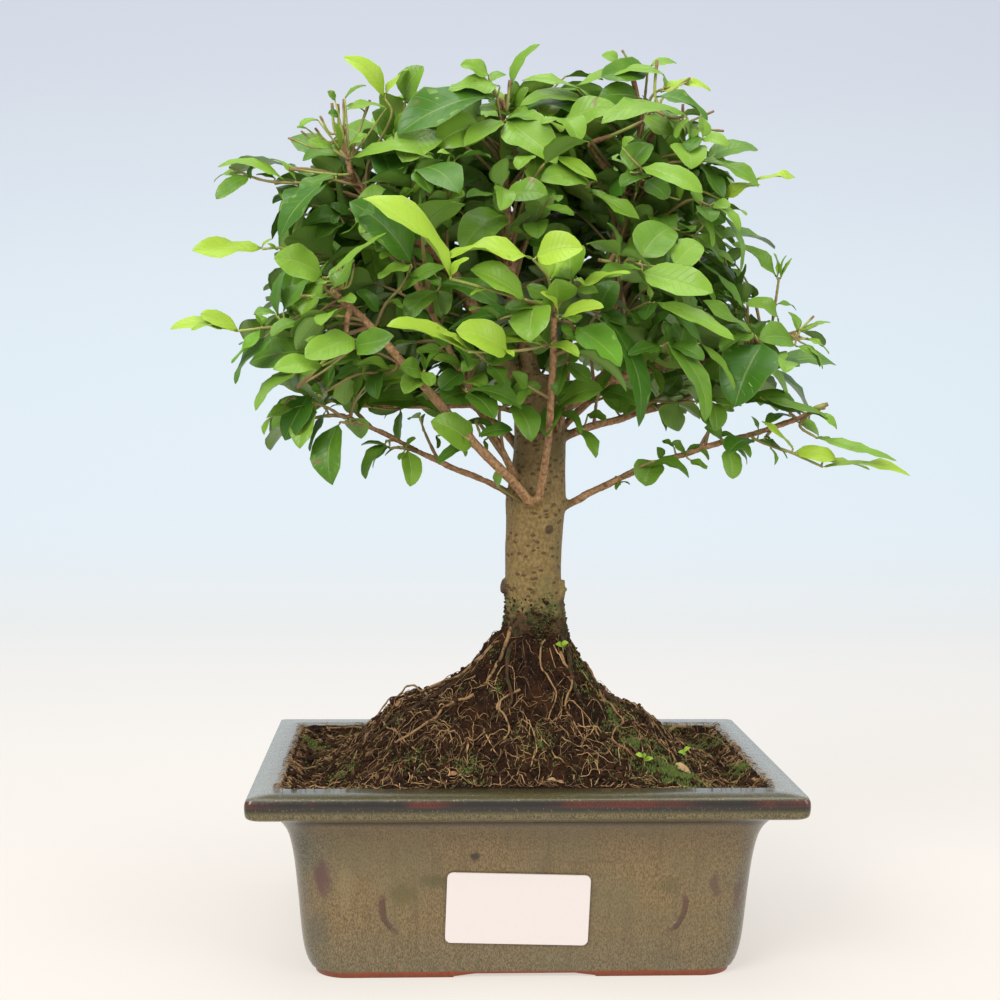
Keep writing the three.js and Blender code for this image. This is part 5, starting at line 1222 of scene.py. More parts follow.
def soil_height(x, y):
    """The smooth height of the soil, before its crumbs."""
    across = x - HILL_FOOT[0]
    away = np.hypot(across * np.where(across > 0, HILL_RIGHT, 1), y - HILL_FOOT[1])
    inner = np.maximum(0, 1 - (x / SOIL_HALF[0]) ** 4) * np.maximum(0, 1 - (y / SOIL_HALF[1]) ** 4)
    lumps = np.sin(x * 0.61 + 1.3) * np.sin(y * 0.57 + 0.4) + 0.7 * np.sin(x * 0.23 - y * 0.37 + 2)
    heaps = sum(high * np.exp(-(((x - at) / wide) ** 2)) for at, wide, high in SIDE_HEAPS)
    hill = np.minimum(HILL_HIGH * np.exp(-away / HILL_FALL), HILL_NECK - 0.8 * away)
    return SOIL_EDGE + inner * (hill + HEAP + heaps + 0.7 * lumps)


def rough_at(x, y, z, size, octaves):
    """Roughness of a grain size, from about -1 to 1."""
    return noise.fractal(Vector((x / size, y / size, z / size)), 0.8, 2.0, octaves)


# The grid of the soil's rough surface, which make_soil fills in.
SURFACE = {}


def surface(x, y):
    """The height of the soil's own rough surface."""
    xs, ys, z = SURFACE["xs"], SURFACE["ys"], SURFACE["z"]
    column = np.clip((np.asarray(x) - xs[0]) / (xs[1] - xs[0]), 0, len(xs) - 1.001)
    row = np.clip((np.asarray(y) - ys[0]) / (ys[1] - ys[0]), 0, len(ys) - 1.001)
    i, j = column.astype(int), row.astype(int)
    a, b = column - i, row - j
    low = z[j, i] * (1 - a) + z[j, i + 1] * a
    high = z[j + 1, i] * (1 - a) + z[j + 1, i + 1] * a
    return low * (1 - b) + high * b


def on_soil(px, py):
    """The place on the soil that a pixel shows, or the nearest on its skyline."""
    line = sight(px, py)
    reach = np.arange(420, 600, 0.4)[:, None]
    spots = EYE + line * reach
    inside = (np.abs(spots[:, 0]) < SOIL_HALF[0] - 1) & (np.abs(spots[:, 1]) < SOIL_HALF[1] - 1)
    gap = np.where(inside, spots[:, 2] - surface(spots[:, 0], spots[:, 1]), 1e3)
    met = np.nonzero(gap < 0)[0]
    spot = spots[met[0]] if len(met) else spots[np.argmin(gap)]
    return vec(spot[0], spot[1], float(surface(spot[0], spot[1])))


def make_soil():
    half_x, half_y = SOIL_HALF
    nx, ny = int(2 * half_x / SOIL_STEP), int(2 * half_y / SOIL_STEP)
    xs, ys = np.linspace(-half_x, half_x, nx + 1), np.linspace(-half_y, half_y, ny + 1)
    x, y = (grid.ravel() for grid in np.meshgrid(xs, ys))
    flat_x, flat_y = half_x - SOIL_CORNER, half_y - SOIL_CORNER
    dx, dy = np.abs(x) - flat_x, np.abs(y) - flat_y
    out = np.hypot(dx, dy)
    tight = (dx > 0) & (dy > 0) & (out > SOIL_CORNER)
    x = np.where(tight, np.sign(x) * (flat_x + dx / np.maximum(out, 1e-6) * SOIL_CORNER), x)
    y = np.where(tight, np.sign(y) * (flat_y + dy / np.maximum(out, 1e-6) * SOIL_CORNER), y)
    z = soil_height(x, y)
    edge = np.minimum(half_x - np.abs(x), half_y - np.abs(y))
    calm = np.clip(edge / 2.5, 0.25, 1)
    crumbs = np.array([rough_at(a, b, c, 3.4, 4) for a, b, c in zip(x, y, z)])
    grit = np.array([rough_at(a + 50, b, c, 1.1, 2) for a, b, c in zip(x, y, z)])
    brim = 1.1 * np.exp(-((edge / 5) ** 2))
    z = z + calm * (1.25 * crumbs + 0.45 * np.abs(grit)) - 0.3 + brim
    points = np.stack([x, y, z], 1)
    index = np.arange((nx + 1) * (ny + 1)).reshape(ny + 1, nx + 1)
    SURFACE.update(xs=xs, ys=ys, z=z.reshape(ny + 1, nx + 1))
    top = np.stack([index[:-1, :-1], index[:-1, 1:], index[1:, 1:], index[1:, :-1]], -1).reshape(-1, 4)
    loop = np.concatenate([index[0, :-1], index[:-1, -1], index[-1, :0:-1], index[:0:-1, 0]])
    below, faces, upper = [points], [top], loop
    for inset, level, front in SOIL_BELOW:
        ring = points[loop] * vec((RIM_HALF[0] - inset) / half_x, (RIM_HALF[1] - front) / half_y, 0)
        below.append(ring + vec(0, 0, level))
        lower = len(points) + (len(below) - 2) * len(loop) + np.arange(len(loop))
        faces.append(np.stack([np.roll(lower, -1), np.roll(upper, -1), upper, lower], -1))
        upper = lower
    faces.append(upper[::-1][None])
    body = Shape()
    body.add(np.vstack(below), faces)
    body.piece("potting_soil", [SOIL], "soil", ["soil"])


def ball_faces():
    """An icosahedron's points and faces."""
    g = (1 + 5**0.5) / 2
    points = [(-1, g, 0), (1, g, 0), (-1, -g, 0), (1, -g, 0), (0, -1, g), (0, 1, g)]
    points += [(0, -1, -g), (0, 1, -g), (g, 0, -1), (g, 0, 1), (-g, 0, -1), (-g, 0, 1)]
    faces = [(0, 11, 5), (0, 5, 1), (0, 1, 7), (0, 7, 10), (0, 10, 11), (1, 5, 9), (5, 11, 4)]
    faces += [(11, 10, 2), (10, 7, 6), (7, 1, 8), (3, 9, 4), (3, 4, 2), (3, 2, 6), (3, 6, 8)]
    faces += [(3, 8, 9), (4, 9, 5), (2, 4, 11), (6, 2, 10), (8, 6, 7), (9, 8, 1)]
    return np.array(points) / (1 + g * g) ** 0.5, np.array(faces)


# How far out a root may lie on the soil.
SOIL_REACH = vec(SOIL_HALF[0] - 1.2, SOIL_HALF[1] - 1.2)


def soil_draws(draw, count, edge=1.5):
    """Random places on the soil, away from its edge and the trunk."""
    x = draw.uniform(-1, 1, count) * (SOIL_HALF[0] - edge)
    y = draw.uniform(-1, 1, count) * (SOIL_HALF[1] - edge)
    away = np.hypot(x - TRUNK_FOOT[0], y - TRUNK_FOOT[1]) > 10
    return x[away], y[away]


def on_collar(draw, high):
    """A place on the trunk's foot, lower ones likelier, and the way out from it."""
    z = COLLAR_LOW + (high - COLLAR_LOW) * draw.random() ** 2.1
    turn = draw.uniform(0, 2 * math.pi)
    columns = list(zip(*TRUNK_RINGS))
    x, y, thick = (np.interp(z, columns[2], columns[i]) for i in (0, 1, 3))
    out = vec(math.cos(turn), math.sin(turn), 0)
    return vec(x, y, z) + out * thick, out


def make_crumbs():
    """Crumbs of soil, smaller on the trunk's foot."""
    draw = np.random.default_rng(3)
    points, faces = ball_faces()
    shape = Shape()
    x, y = soil_draws(draw, CRUMBS)
    spots = np.column_stack([x, y, surface(x, y)])
    spots = np.vstack([spots, [on_collar(draw, 103)[0] for _ in range(COLLAR_CRUMBS)]])
    for i, at in enumerate(spots):
        size = (0.35 + draw.random() ** 2.5) * (1 if i < len(x) else 0.55)
        stretch = draw.uniform(0.6, 1.25, 3)
        rough = 1 + draw.uniform(-0.22, 0.22, (len(points), 1))
        tone = np.full(len(points), draw.random())
        crumb = at + points * rough * stretch * size + vec(0, 0, 0.25 * size)
        shape.add(crumb, [faces], marks=toned(tone))
    shape.piece("soil_crumbs", [CRUMB], "soil", smooth=False)


def add_root(shape, line, radii, sides, tone):
    points, faces = tube(line, radii, sides)
    shape.add(points, faces, marks=toned(np.full(len(points), tone)))


def make_feeders():
    """The mat of fine feeder roots that lies on the soil and over its edge."""
    draw = np.random.default_rng(4)
    shape = Shape()
    x, y = soil_draws(draw, FEEDERS, 3)
    for start in zip(x, y):
        steps = int(draw.integers(7, 13))
        turn, curl = draw.uniform(0, 2 * math.pi), draw.uniform(-0.35, 0.35)
        spot, line = np.array(start), []
        stride = draw.uniform(0.45, 1.35)
        for i in range(steps):
            turn += curl + draw.uniform(-0.45, 0.45)
            spot = spot + stride * vec(math.cos(turn), math.sin(turn))
            line.append(spot)
        line = np.clip(line, -SOIL_REACH, SOIL_REACH)
        if np.hypot(*(start - vec(*TRUNK_FOOT))) < 30 and draw.random() < 0.55:
            continue
        if np.linalg.norm(np.diff(line, axis=0), axis=1).min() < 0.2:
            continue
        lift = np.sin(np.linspace(0, math.pi, steps)) * draw.uniform(0.1, 1.15) ** 1.5
        lift += draw.uniform(-0.12, 0.2, steps)
        lift[0] = lift[-1] = -0.4
        thick = 0.085 + 0.16 * draw.random() ** 2.6
        line = np.column_stack([line, surface(line[:, 0], line[:, 1]) + lift])
        add_root(shape, line, taper(thick, thick * 0.6, steps), 3, draw.random() ** 1.2)
    for _ in range(EDGE_FEEDERS):
        turn = draw.uniform(0, 2 * math.pi)
        edge = vec(math.cos(turn), math.sin(turn))
        edge = edge / max(abs(edge)) * SOIL_HALF
        out = vec(*np.where(np.abs(edge) > np.array(SOIL_HALF) - 0.01, np.sign(edge), 0))
        along = vec(-out[1], out[0]) * draw.uniform(-3, 3)
        reach = draw.uniform(0.3, 2.2)
        steps = [(-draw.uniform(2, 5), -1), (-0.8, -0.3), (reach * 0.5, 0), (reach, 0.6)]
        line = Route([edge + out * far + along * aside for far, aside in steps]).samples(8)
        inside = np.clip(line, -SOIL_REACH, SOIL_REACH)
        height = np.maximum(surface(inside[:, 0], inside[:, 1]), np.where(np.arange(8) > 3, RIM_TOP, 0))
        height += 0.15 + np.sin(np.linspace(0, 3.1, 8)) * draw.uniform(0, 0.5)
        height[0] -= 0.5
        radii = taper(draw.uniform(0.1, 0.2), 0.07, 8)
        add_root(shape, np.column_stack([line, height]), radii, 3, draw.random())
    for thick, thin, stand, pixels in LOOSE_ROOTS:
        thick, thin = thick * ROOT_SLIM, thin * ROOT_SLIM
        line = Route([on_soil(*pixel) for pixel in pixels]).samples(28)
        line += np.cumsum(draw.normal(0, 0.09, line.shape), 0)
        line[:, :2] = np.clip(line[:, :2], -SOIL_REACH, SOIL_REACH)
        rise = np.sin(np.linspace(0, math.pi, 28)) * stand
        line[:, 2] = surface(line[:, 0], line[:, 1]) + rise + thick * 0.2
        line[[0, -1], 2] -= thick * 1.2
        line[1:-1, 2] = (line[:-2, 2] + line[1:-1, 2] * 2 + line[2:, 2]) / 4
        knots = 1 + 0.15 * np.sin(np.arange(28) * 1.9)
        add_root(shape, line, taper(thick, thin, 28) * knots, 8, 0.46)
    shape.piece("feeder_roots", [ROOT], "soil")


def make_moss():
    """Cushions of moss, each shoot a small three-sided spike."""
    draw = np.random.default_rng(5)
    shape = Shape()
    spikes = []
    for pixel, reach, full, tall in CUSHIONS:
        middle = on_soil(*pixel)
        count = int(reach * reach * 9 * full)
        away = np.abs(draw.normal(0, 0.55, count)) * reach
        turns = draw.uniform(0, 2 * math.pi, count)
        x, y = middle[0] + away * np.cos(turns), middle[1] + away * np.sin(turns)
        kept = (np.abs(x) < SOIL_HALF[0] - 0.6) & (np.abs(y) < SOIL_HALF[1] - 0.6)
        for a, b in zip(x[kept], y[kept]):
            if noise.noise(Vector((a * 0.32, b * 0.32, 3.0))) > -0.18:
                spikes.append((a, b, tall))
    x, y = soil_draws(draw, MOSS_SHOOTS)
    for a, b in zip(x, y):
        greener = 0.22 if a > 20 or a < -48 or abs(b) > 30 else 0.0
        if noise.noise(Vector((a * 0.2, b * 0.2, 9.0))) + greener > 0.3:
            spikes.append((a, b, 0.55))
    spikes = [(vec(a, b, float(surface(a, b)) - 0.15), vec(0, 0, tall)) for a, b, tall in spikes]
    for _ in range(COLLAR_MOSS):
        spot, out = on_collar(draw, 108)
        if noise.noise(Vector(spot * 0.3)) > (spot[2] - 98) * 0.04 - 0.05:
            spikes.append((spot - out * 0.15, out * 0.55 + vec(0, 0, 0.35)))
    for base, stem in spikes:
        size = draw.uniform(0.6, 1.3)
        wide = draw.uniform(0.16, 0.32)
        high = size * stem[2]
        turns = draw.uniform(0, 2) + np.arange(3) * 2.094
        ring = base + np.column_stack([np.cos(turns), np.sin(turns), turns * 0]) * wide
        lean = base + stem * size + vec(*draw.uniform(-0.45, 0.45, 2) * high, 0)
        mid = (ring + lean) / 2 + (ring - base) * 0.7
        points = np.vstack([ring, mid, lean[None]])
        sides = [(0, 1, 4, 3), (1, 2, 5, 4), (2, 0, 3, 5)]
        tops = [(3, 4, 6), (4, 5, 6), (5, 3, 6), (2, 1, 0)]
        tone = np.array([0, 0, 0, 0.5, 0.5, 0.5, 1]) * draw.uniform(0.5, 1)
        shape.add(points, [sides, tops], marks=toned(tone))
    shape.piece("moss", [MOSS], "soil")


make_pot()
make_soil()
make_crumbs()
make_feeders()
make_moss()


# The tree's wood


LIMB_ROUTES = {name: Route(points) for name, (points, _) in LIMBS.items()}


def root_route(bearing, reach, radius):
    """The line of a surface root along the soil."""
    turn = math.radians(bearing)
    points = []
    for i, (share, lift) in enumerate(ROOT_POINTS):
        wander = turn + 0.16 * math.sin(i * 2.1 + bearing)
        x = TRUNK_FOOT[0] + reach * share * math.cos(wander)
        y = TRUNK_FOOT[1] + reach * share * math.sin(wander) * 0.9
        points.append((x, y, float(soil_height(x, y)) + lift * radius))
    return Route(points)


def make_wood():
    """The trunk, its surface roots, limbs and knobs, grown together into one skin."""
    turns = np.arange(40) / 40 * 2 * math.pi
    rings = []
    for x, y, z, r in smoothed(TRUNK_RINGS, 5):
        flute = 1 + 0.035 * np.sin(3 * turns + z * 0.03) + 0.02 * np.sin(5 * turns)
        ring = [x + r * flute * np.cos(turns), y + r * flute * np.sin(turns), turns * 0 + z]
        rings.append(np.stack(ring, 1))
    body = Shape()
    body.add(*lofted(rings))
    for bearing, reach, radius in SURFACE_ROOTS:
        line = root_route(bearing, reach, radius).samples(30)
        wave = np.cumsum(np.sin(np.arange(30) * 1.7 + bearing) * 0.22)[:, None] * vec(0.5, 0.5, 0)
        radii = taper(*(slim * radius for slim in SURFACE_ROOT_SLIM), 30)
        body.add(*tube(line + wave, radii, 10))
    # Blender's vector noise starts from the clock unless it is given a seed.
    noise.seed_set(WANDER_SEED)
    for name, (points, (thick, thin)) in LIMBS.items():
        slim = LEADER_SLIM if "leader" in name else LIMB_SLIM
        thick, thin = thick * slim, thin * slim
        count = 10 * (len(points) - 1)
        line = LIMB_ROUTES[name].samples(count)
        radii = taper(thick, thin, count)
        swell = np.exp(-np.arange(count) / count * 14) * 0.5
        knots = np.array([noise.noise(Vector((i * 0.35, len(name), 3.0))) for i in range(count)])
        places = [Vector((i * 0.22, len(name) * 3.0, 7.0)) for i in range(count)]
        wander = np.array([noise.noise_vector(place) for place in places])
        calm = np.sin(np.linspace(0, math.pi, count))[:, None]
        body.add(*tube(line + wander * 0.5 * calm, radii * (1 + 0.12 * knots + swell), 10))
    for path, (thick, thin) in TRUNK_KNOBS:
        body.add(*tube(Route(path).samples(14), taper(thick, thin, 14), 10))
    wood = body.piece("trunk_and_limbs", [BARK], None, rides=False)
    remesh = ("REMESH", {"mode": "VOXEL", "voxel_size": 0.0006})
    applied(wood, [remesh, ("SMOOTH", {"factor": 0.5, "iterations": 3})])
    mesh = wood.data
    count = len(mesh.vertices)
    spots, normals = np.zeros(count * 3), np.zeros(count * 3)
    mesh.vertices.foreach_get("co", spots)
    mesh.vertices.foreach_get("normal", normals)
    spots, normals = spots.reshape(-1, 3), normals.reshape(-1, 3)
    ridge = np.array([rough_at(a, b, c * 0.35, 0.0035, 3) for a, b, c in spots])
    spots += normals * (ridge * 0.00014)[:, None]
    mesh.vertices.foreach_set("co", spots.ravel())
    mesh.update()
    applied(wood, [("DECIMATE", {"ratio": 0.55})])
    wood.data.polygons.foreach_set("use_smooth", np.full(len(wood.data.polygons), True))
    if not wood.data.materials:
        wood.data.materials.append(BARK)
    settle(wood, ["trunk_roots_and_limbs"])


make_wood()


# Leaves


# Where along a leaf its rings of points are, the width of a keen-tipped and a blunt leaf along it, and
# where across it the points are.
STATIONS = np.array([0.035, 0.09, 0.17, 0.28, 0.4, 0.52, 0.64, 0.76, 0.86, 0.94, 0.98])
OUTLINE_AT = [0, 0.035, 0.07, 0.12, 0.2, 0.3, 0.4, 0.5, 0.6, 0.7, 0.8, 0.88, 0.95, 1]
OUTLINE_KEEN = np.array([0.04, 0.07, 0.17, 0.48, 0.8, 0.98, 1.03, 1.03, 0.97, 0.85, 0.66, 0.45, 0.22, 0])
OUTLINE_BLUNT = np.array([0.04, 0.07, 0.19, 0.53, 0.85, 1, 1.03, 1.05, 1.04, 0.98, 0.87, 0.72, 0.47, 0])
ROWS = np.array([-1, -0.62, -0.3, 0, 0.3, 0.62, 1])


def leaf_faces():
    """Faces of one leaf: a foot and a tip, rings of seven points above and of five below."""
    count = len(STATIONS)
    upper = 2 + np.arange(count * 7).reshape(count, 7)
    under = upper.copy()
    under[:, 1:6] = 2 + count * 7 + np.arange(count * 5).reshape(count, 5)
    quads, fans = [], []
    for grid, flip in ((upper, False), (under, True)):
        blocks = np.stack([grid[:-1, :-1], grid[1:, :-1], grid[1:, 1:], grid[:-1, 1:]], -1).reshape(-1, 4)
        first = np.stack([np.zeros(6, int), grid[0, :-1], grid[0, 1:]], -1)
        last = np.stack([grid[-1, :-1], np.ones(6, int), grid[-1, 1:]], -1)
        for block, kept in ((blocks, quads), (first, fans), (last, fans)):
            kept.append(block[:, ::-1] if flip else block)
    return np.vstack(quads), np.vstack(fans)


LEAF_QUADS, LEAF_FANS = leaf_faces()


def leaf_points(leaf, seed):
    """Points, places and marks of one leaf: its tone, and 1 below, 0.5 at the edge and 0 above."""
    draw = np.random.default_rng(seed)
    line, face, length, half = leaf["line"], leaf["face"], leaf["length"], leaf["half"]
    across = np.cross(face, line)
    blunt = draw.uniform(0.1, 1)
    outline = OUTLINE_KEEN * (1 - blunt) + OUTLINE_BLUNT * blunt
    wide = half * np.interp(STATIONS, OUTLINE_AT, outline)[:, None] * np.ones(7)
    left, right = ROWS < 0, ROWS > 0
    ripple, phase = draw.uniform(0, 0.022), draw.uniform(0, 6)
    for rows in (left, right):
        wide[:, rows] *= 1 + ripple * np.sin(STATIONS * draw.uniform(14, 22) + draw.uniform(0, 6))[:, None]
    if draw.random() < 0.14:
        bite = 1 - draw.uniform(0.2, 0.5) * np.exp(-(((STATIONS - draw.uniform(0.3, 0.85)) / 0.06) ** 2))
        rows = left if draw.random() < 0.5 else right
        wide[:, rows] *= bite[:, None]
    u = STATIONS[:, None] * np.ones(7)
    v = ROWS * np.ones((len(STATIONS), 1))
    fade = np.sin(np.pi * np.clip(u, 0, 1)) ** 0.5
    rise = leaf["arch"] * length * 4 * u * (1 - u)
    lift = rise + leaf["fold"] * (np.abs(v) ** 1.4 * 1.25 - 0.45 * np.abs(v) ** 3) * wide
    lift += np.sign(v) * np.abs(v) ** 1.5 * leaf["wave"] * np.cos(np.pi * (u - 0.34) / 0.38) * fade
    lift += np.abs(v) ** 3 * 0.012 * length * np.sin(u * draw.uniform(16, 24) + phase + v) * fade
    hook, sway, bend = leaf.get("hook", 0.05), leaf.get("sway", 0.0), leaf.get("bend", 0.0)
    lift -= hook * length * np.clip(u - 0.6, 0, 1) ** 2 * 4
    aside = sway * length * u**2 + bend * length * 4 * u * (1 - u)
    thick = LEAF_HALF_THICK + 0.3 * np.exp(-u / 0.05)
    spots = leaf["base"] + u[..., None] * length * line + (v * wide + aside)[..., None] * across
    top = spots + (lift + thick)[..., None] * face
    low = spots + (lift - thick)[..., None] * face
    rim = spots + lift[..., None] * face
    top[:, 0], top[:, -1] = rim[:, 0], rim[:, -1]
    end = leaf["base"] + line * length + sway * length * across
    end = end - hook * length * 0.64 * face
    points = np.vstack([leaf["base"][None], end[None], top.reshape(-1, 3), low[:, 1:6].reshape(-1, 3)])
    place = np.stack([u, v], -1)
    uv = np.vstack([[[0, 0], [1, 0]], place.reshape(-1, 2), place[:, 1:6].reshape(-1, 2)])
    under = np.zeros((len(STATIONS), 7))
    under[:, 0] = under[:, -1] = 0.5
    under = np.concatenate([[0.5, 0.5], under.ravel(), np.ones(len(STATIONS) * 5)])
    marks = np.stack([np.full(len(under), leaf.get("tone", draw.random())), under], 1)
    return points, uv, marks


def add_leaf(shape, leaf, seed):
    points, uv, marks = leaf_points(leaf, seed)
    shape.add(points, [LEAF_QUADS, LEAF_FANS], 0, uv, marks)


def twig_of(limb, share, tip, leafy_length):
    """A twig's bowed line, and the share of it where it turns leafy."""
    start, along = LIMB_ROUTES[limb].point(share), LIMB_ROUTES[limb].tangent(share)
    end = vec(*tip)
    reach = np.linalg.norm(end - start)
    bow = start + (end - start) * 0.45 + along * reach * 0.12 + vec(0, 0, reach * 0.08)
    curve = Route([start, bow, end], bow=True)
    thick, thin = LIMBS[limb][1]
    heading = curve.tangent(0)
    normal = unit(heading - along * heading.dot(along)) if share < 1 else along
    gap = 0.3 + (0.1 + thick + (thin - thick) * share if share < 1 else 0)
    foot = gap / (0.9 * reach * normal.dot(heading))
    return curve, max(foot + 0.1, 1 - leafy_length / reach)


def propose_leaf(index, slot, attempt):
    """The leaf that one try proposed for one place on one of the solids' sprays."""
    limb, share, tip, kind_name, *aims = SPRAYS[index]
    kind = KINDS[kind_name]
    aim = aims[0].get(slot) if aims else None
    curve, leafy = TWIGS[index]
    draw = sequence(index * 4001 + slot * 101 + attempt * 7 + 11)
    pair, side = slot >> 1, slot % 2
    spot = leafy + (1 - leafy) * (0.25 + 0.73 * pair / (kind["pairs"] - 1))
    base, along = curve.point(spot), curve.tangent(spot)
    across, upward = across_of(along)
    placed = (pair % 2) * 1.15 + side * math.pi + index * 0.7
    turn = placed + (draw() - 0.5) * 2 * (0.35 + 0.09 * attempt)
    last = pair == kind["pairs"] - 1
    splay = (0.62 if last else 0.95) + (draw() - 0.5) * 0.5
    shrink = 1 - 0.035 * attempt
    length = kind["length"] * (0.8 + 0.42 * draw()) * shrink
    line = along * math.cos(splay) + across * math.sin(splay) * math.cos(turn)
    line = line + upward * math.sin(splay) * math.sin(turn) - vec(0, 0, 0.16)
    if aim:
        line = vec(draw() - 0.5, draw() - 0.5, draw() - 0.5) * 2 * attempt + vec(*aim) - base
        length = np.linalg.norm(line) * shrink
    line = unit(line)
    outward = unit(vec(base[0] - TRUNK_FOOT[0], base[1], 0))
    face = vec(draw() - 0.5, draw() - 0.5, draw() - 0.5) * 0.9 + outward * 0.35 - along * 0.25
    face[2] += 0.85
    face = face - line * face.dot(line)
    if np.linalg.norm(face) < 0.25:
        face = face + across * 0.8
    face = unit(face - line * face.dot(line))
    half = length * kind["slim"] * 0.5 * (0.9 + 0.25 * draw())
    arch, fold = 0.05 + 0.07 * draw(), 0.12 + 0.22 * draw()
    wave = (draw() - 0.5) * 0.09 * length
    return {
        "base": base, "line": line, "face": face, "length": length, "spot": spot,
        "half": half, "arch": arch, "fold": fold, "wave": wave,
    }


TWIGS = [twig_of(limb, share, tip, KINDS[kind]["leafy"]) for limb, share, tip, kind, *_ in SPRAYS]
NODES = [
    f"spray_{number:02d}_{limb}_{kind}" for number, (limb, _, _, kind, *_) in enumerate(SPRAYS, start=1)
]


def grown_leaves(index):
    """The leaves that a spray's solid has, found by their tips."""
    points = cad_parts[NODES[index]].data.vertices
    tree = KDTree(len(points))
    for i, vertex in enumerate(points):
        tree.insert(vertex.co, i)
    tree.balance()
    found = []
    for slot in range(KINDS[SPRAYS[index][3]]["pairs"] * 2):
        for attempt in range(TRIES_PER_LEAF):
            leaf = propose_leaf(index, slot, attempt)
            tip = (leaf["base"] + leaf["line"] * leaf["length"] + MIDDLE) / 1000
            if tree.find(tip)[2] < 0.00003:
                found.append({**leaf, "slot": slot})
                break
    return found


# Where a leaf's probes are: how far along it, and how far towards its edge.
PROBES = [(0.3, 0), (0.5, 0), (0.7, 0), (0.92, 0), (0.4, 0.75), (0.4, -0.75), (0.65, 0.7), (0.65, -0.7)]


def leaf_probes(leaf):
    """Points that stand for a leaf when its room is judged."""
    across = np.cross(leaf["face"], leaf["line"])
    length, half = leaf["length"], leaf["half"]
    probes = []
    for u, v in PROBES:
        rise = leaf["arch"] * length * 4 * u * (1 - u) + leaf["fold"] * abs(v) * half
        probes.append(leaf["base"] + leaf["line"] * u * length + across * v * half + leaf["face"] * rise)
    return np.array(probes)


TWIG_SIDES = 6


def add_twig(shape, curve, end=1.0, radii=(0.7, 0.3), count=12, green=0.5):
    """A twig, woody at its foot and green at its tip."""
    line = curve.samples(count, 0, end)
    knots = 1 + 0.12 * np.sin(np.arange(count) * 2.4 + line[0][0])
    points, faces = tube(line, taper(*radii, count) * knots, TWIG_SIDES)
    tones = np.append(np.repeat(taper(0, green, count), TWIG_SIDES), [0, green])
    shape.add(points, faces, 1, marks=toned(tones))


def shoot_route(limb, share, path):
    """A twig's curve from its limb through places that the photograph shows."""
    return Route([LIMB_ROUTES[limb].point(share), *(at_depth(*spot) for spot in path)])


def nearest(line, px, py):
    """The point of a line that the camera sees nearest to a pixel."""
    shown = pixel_of(line)
    return line[int(np.argmin(np.hypot(shown[:, 0] - px, shown[:, 1] - py)))]


# The pixels of places that the photograph shows, and how far back they are.
SEEN = {"pixels": np.zeros((0, 2)), "depths": np.zeros(0)}


def keep_seen(points):
    """Marks places that no later leaf may hide from the camera."""
    SEEN["pixels"] = np.vstack([SEEN["pixels"], pixel_of(points)])
    SEEN["depths"] = np.append(SEEN["depths"], np.asarray(points)[:, 1])


class Crowd:
    """Where leaves already are, as blocks of their probes."""

    def __init__(self):
        self.blocks = []

    def add(self, probes):
        self.blocks.append(probes)

    def hides(self, probes, reach=LEAF_CLEARANCE):
        """How many places that the photograph shows a leaf would stand before."""
        if not len(SEEN["pixels"]):
            return 0
        shown = pixel_of(probes)
        apart = np.linalg.norm(SEEN["pixels"][None] - shown[:, None], axis=2)
        before = probes[:, 1][:, None] < SEEN["depths"][None] + 1
        return int(((apart < reach) & before).sum())

    def room(self, probes, least):
        """Whether a leaf keeps at least so far from all others."""
        if not self.blocks:
            return True
        taken = np.vstack(self.blocks)
        near = taken[np.abs(taken - probes.mean(0)).max(1) < NEAR_LEAVES]
        if not len(near):
            return True
        apart = np.linalg.norm(near[:, None] - probes[None], axis=2)
        return apart.min() > least


def in_crown(p):
    """Whether a point is in the crown's outline, and not too far to the front or back."""
    x, z = p[0], p[2]
    inside = False
    for (x1, z1), (x2, z2) in zip(CROWN, np.roll(CROWN, -1, axis=0)):
        if (z1 > z) != (z2 > z) and x < (x2 - x1) * (z - z1) / (z2 - z1) + x1:
            inside = not inside
    if not inside:
        return False
    share = max(0.0, 1 - (x / CROWN_HALF[0]) ** 2 - ((z - CROWN_MIDDLE) / CROWN_HALF[1]) ** 2)
    front, back = (edge + more * share**0.5 for edge, more in (CROWN_FRONT, CROWN_BACK))
    return -front < p[1] < back


def free_leaf(draw, base, along, length, slim, turn, splay):
    """A leaf set at an angle on a twig, its upper side to the light."""
    across, upward = across_of(along)
    line = along * math.cos(splay) + across * math.sin(splay) * math.cos(turn)
    line = unit(line + upward * math.sin(splay) * math.sin(turn) - vec(0, 0, 0.14))
    outward = unit(vec(base[0] - TRUNK_FOOT[0], base[1], 0))
    face = draw.uniform(-0.5, 0.5, 3) + outward * 0.3 - along * 0.2 + vec(0, 0, 0.85)
    face = face - line * face.dot(line)
    if np.linalg.norm(face) < 0.25:
        face = face + across * 0.8
    face = unit(face - line * face.dot(line))
    return {
        "base": base, "line": line, "face": face, "length": length,
        "half": length * slim * 0.5 * draw.uniform(0.9, 1.15),
        "arch": draw.uniform(0.03, 0.14), "fold": draw.uniform(0.12, 0.46),
        "wave": draw.uniform(-0.06, 0.06) * length,
        "hook": draw.uniform(-0.02, 0.16), "sway": draw.uniform(-0.08, 0.08),
    }


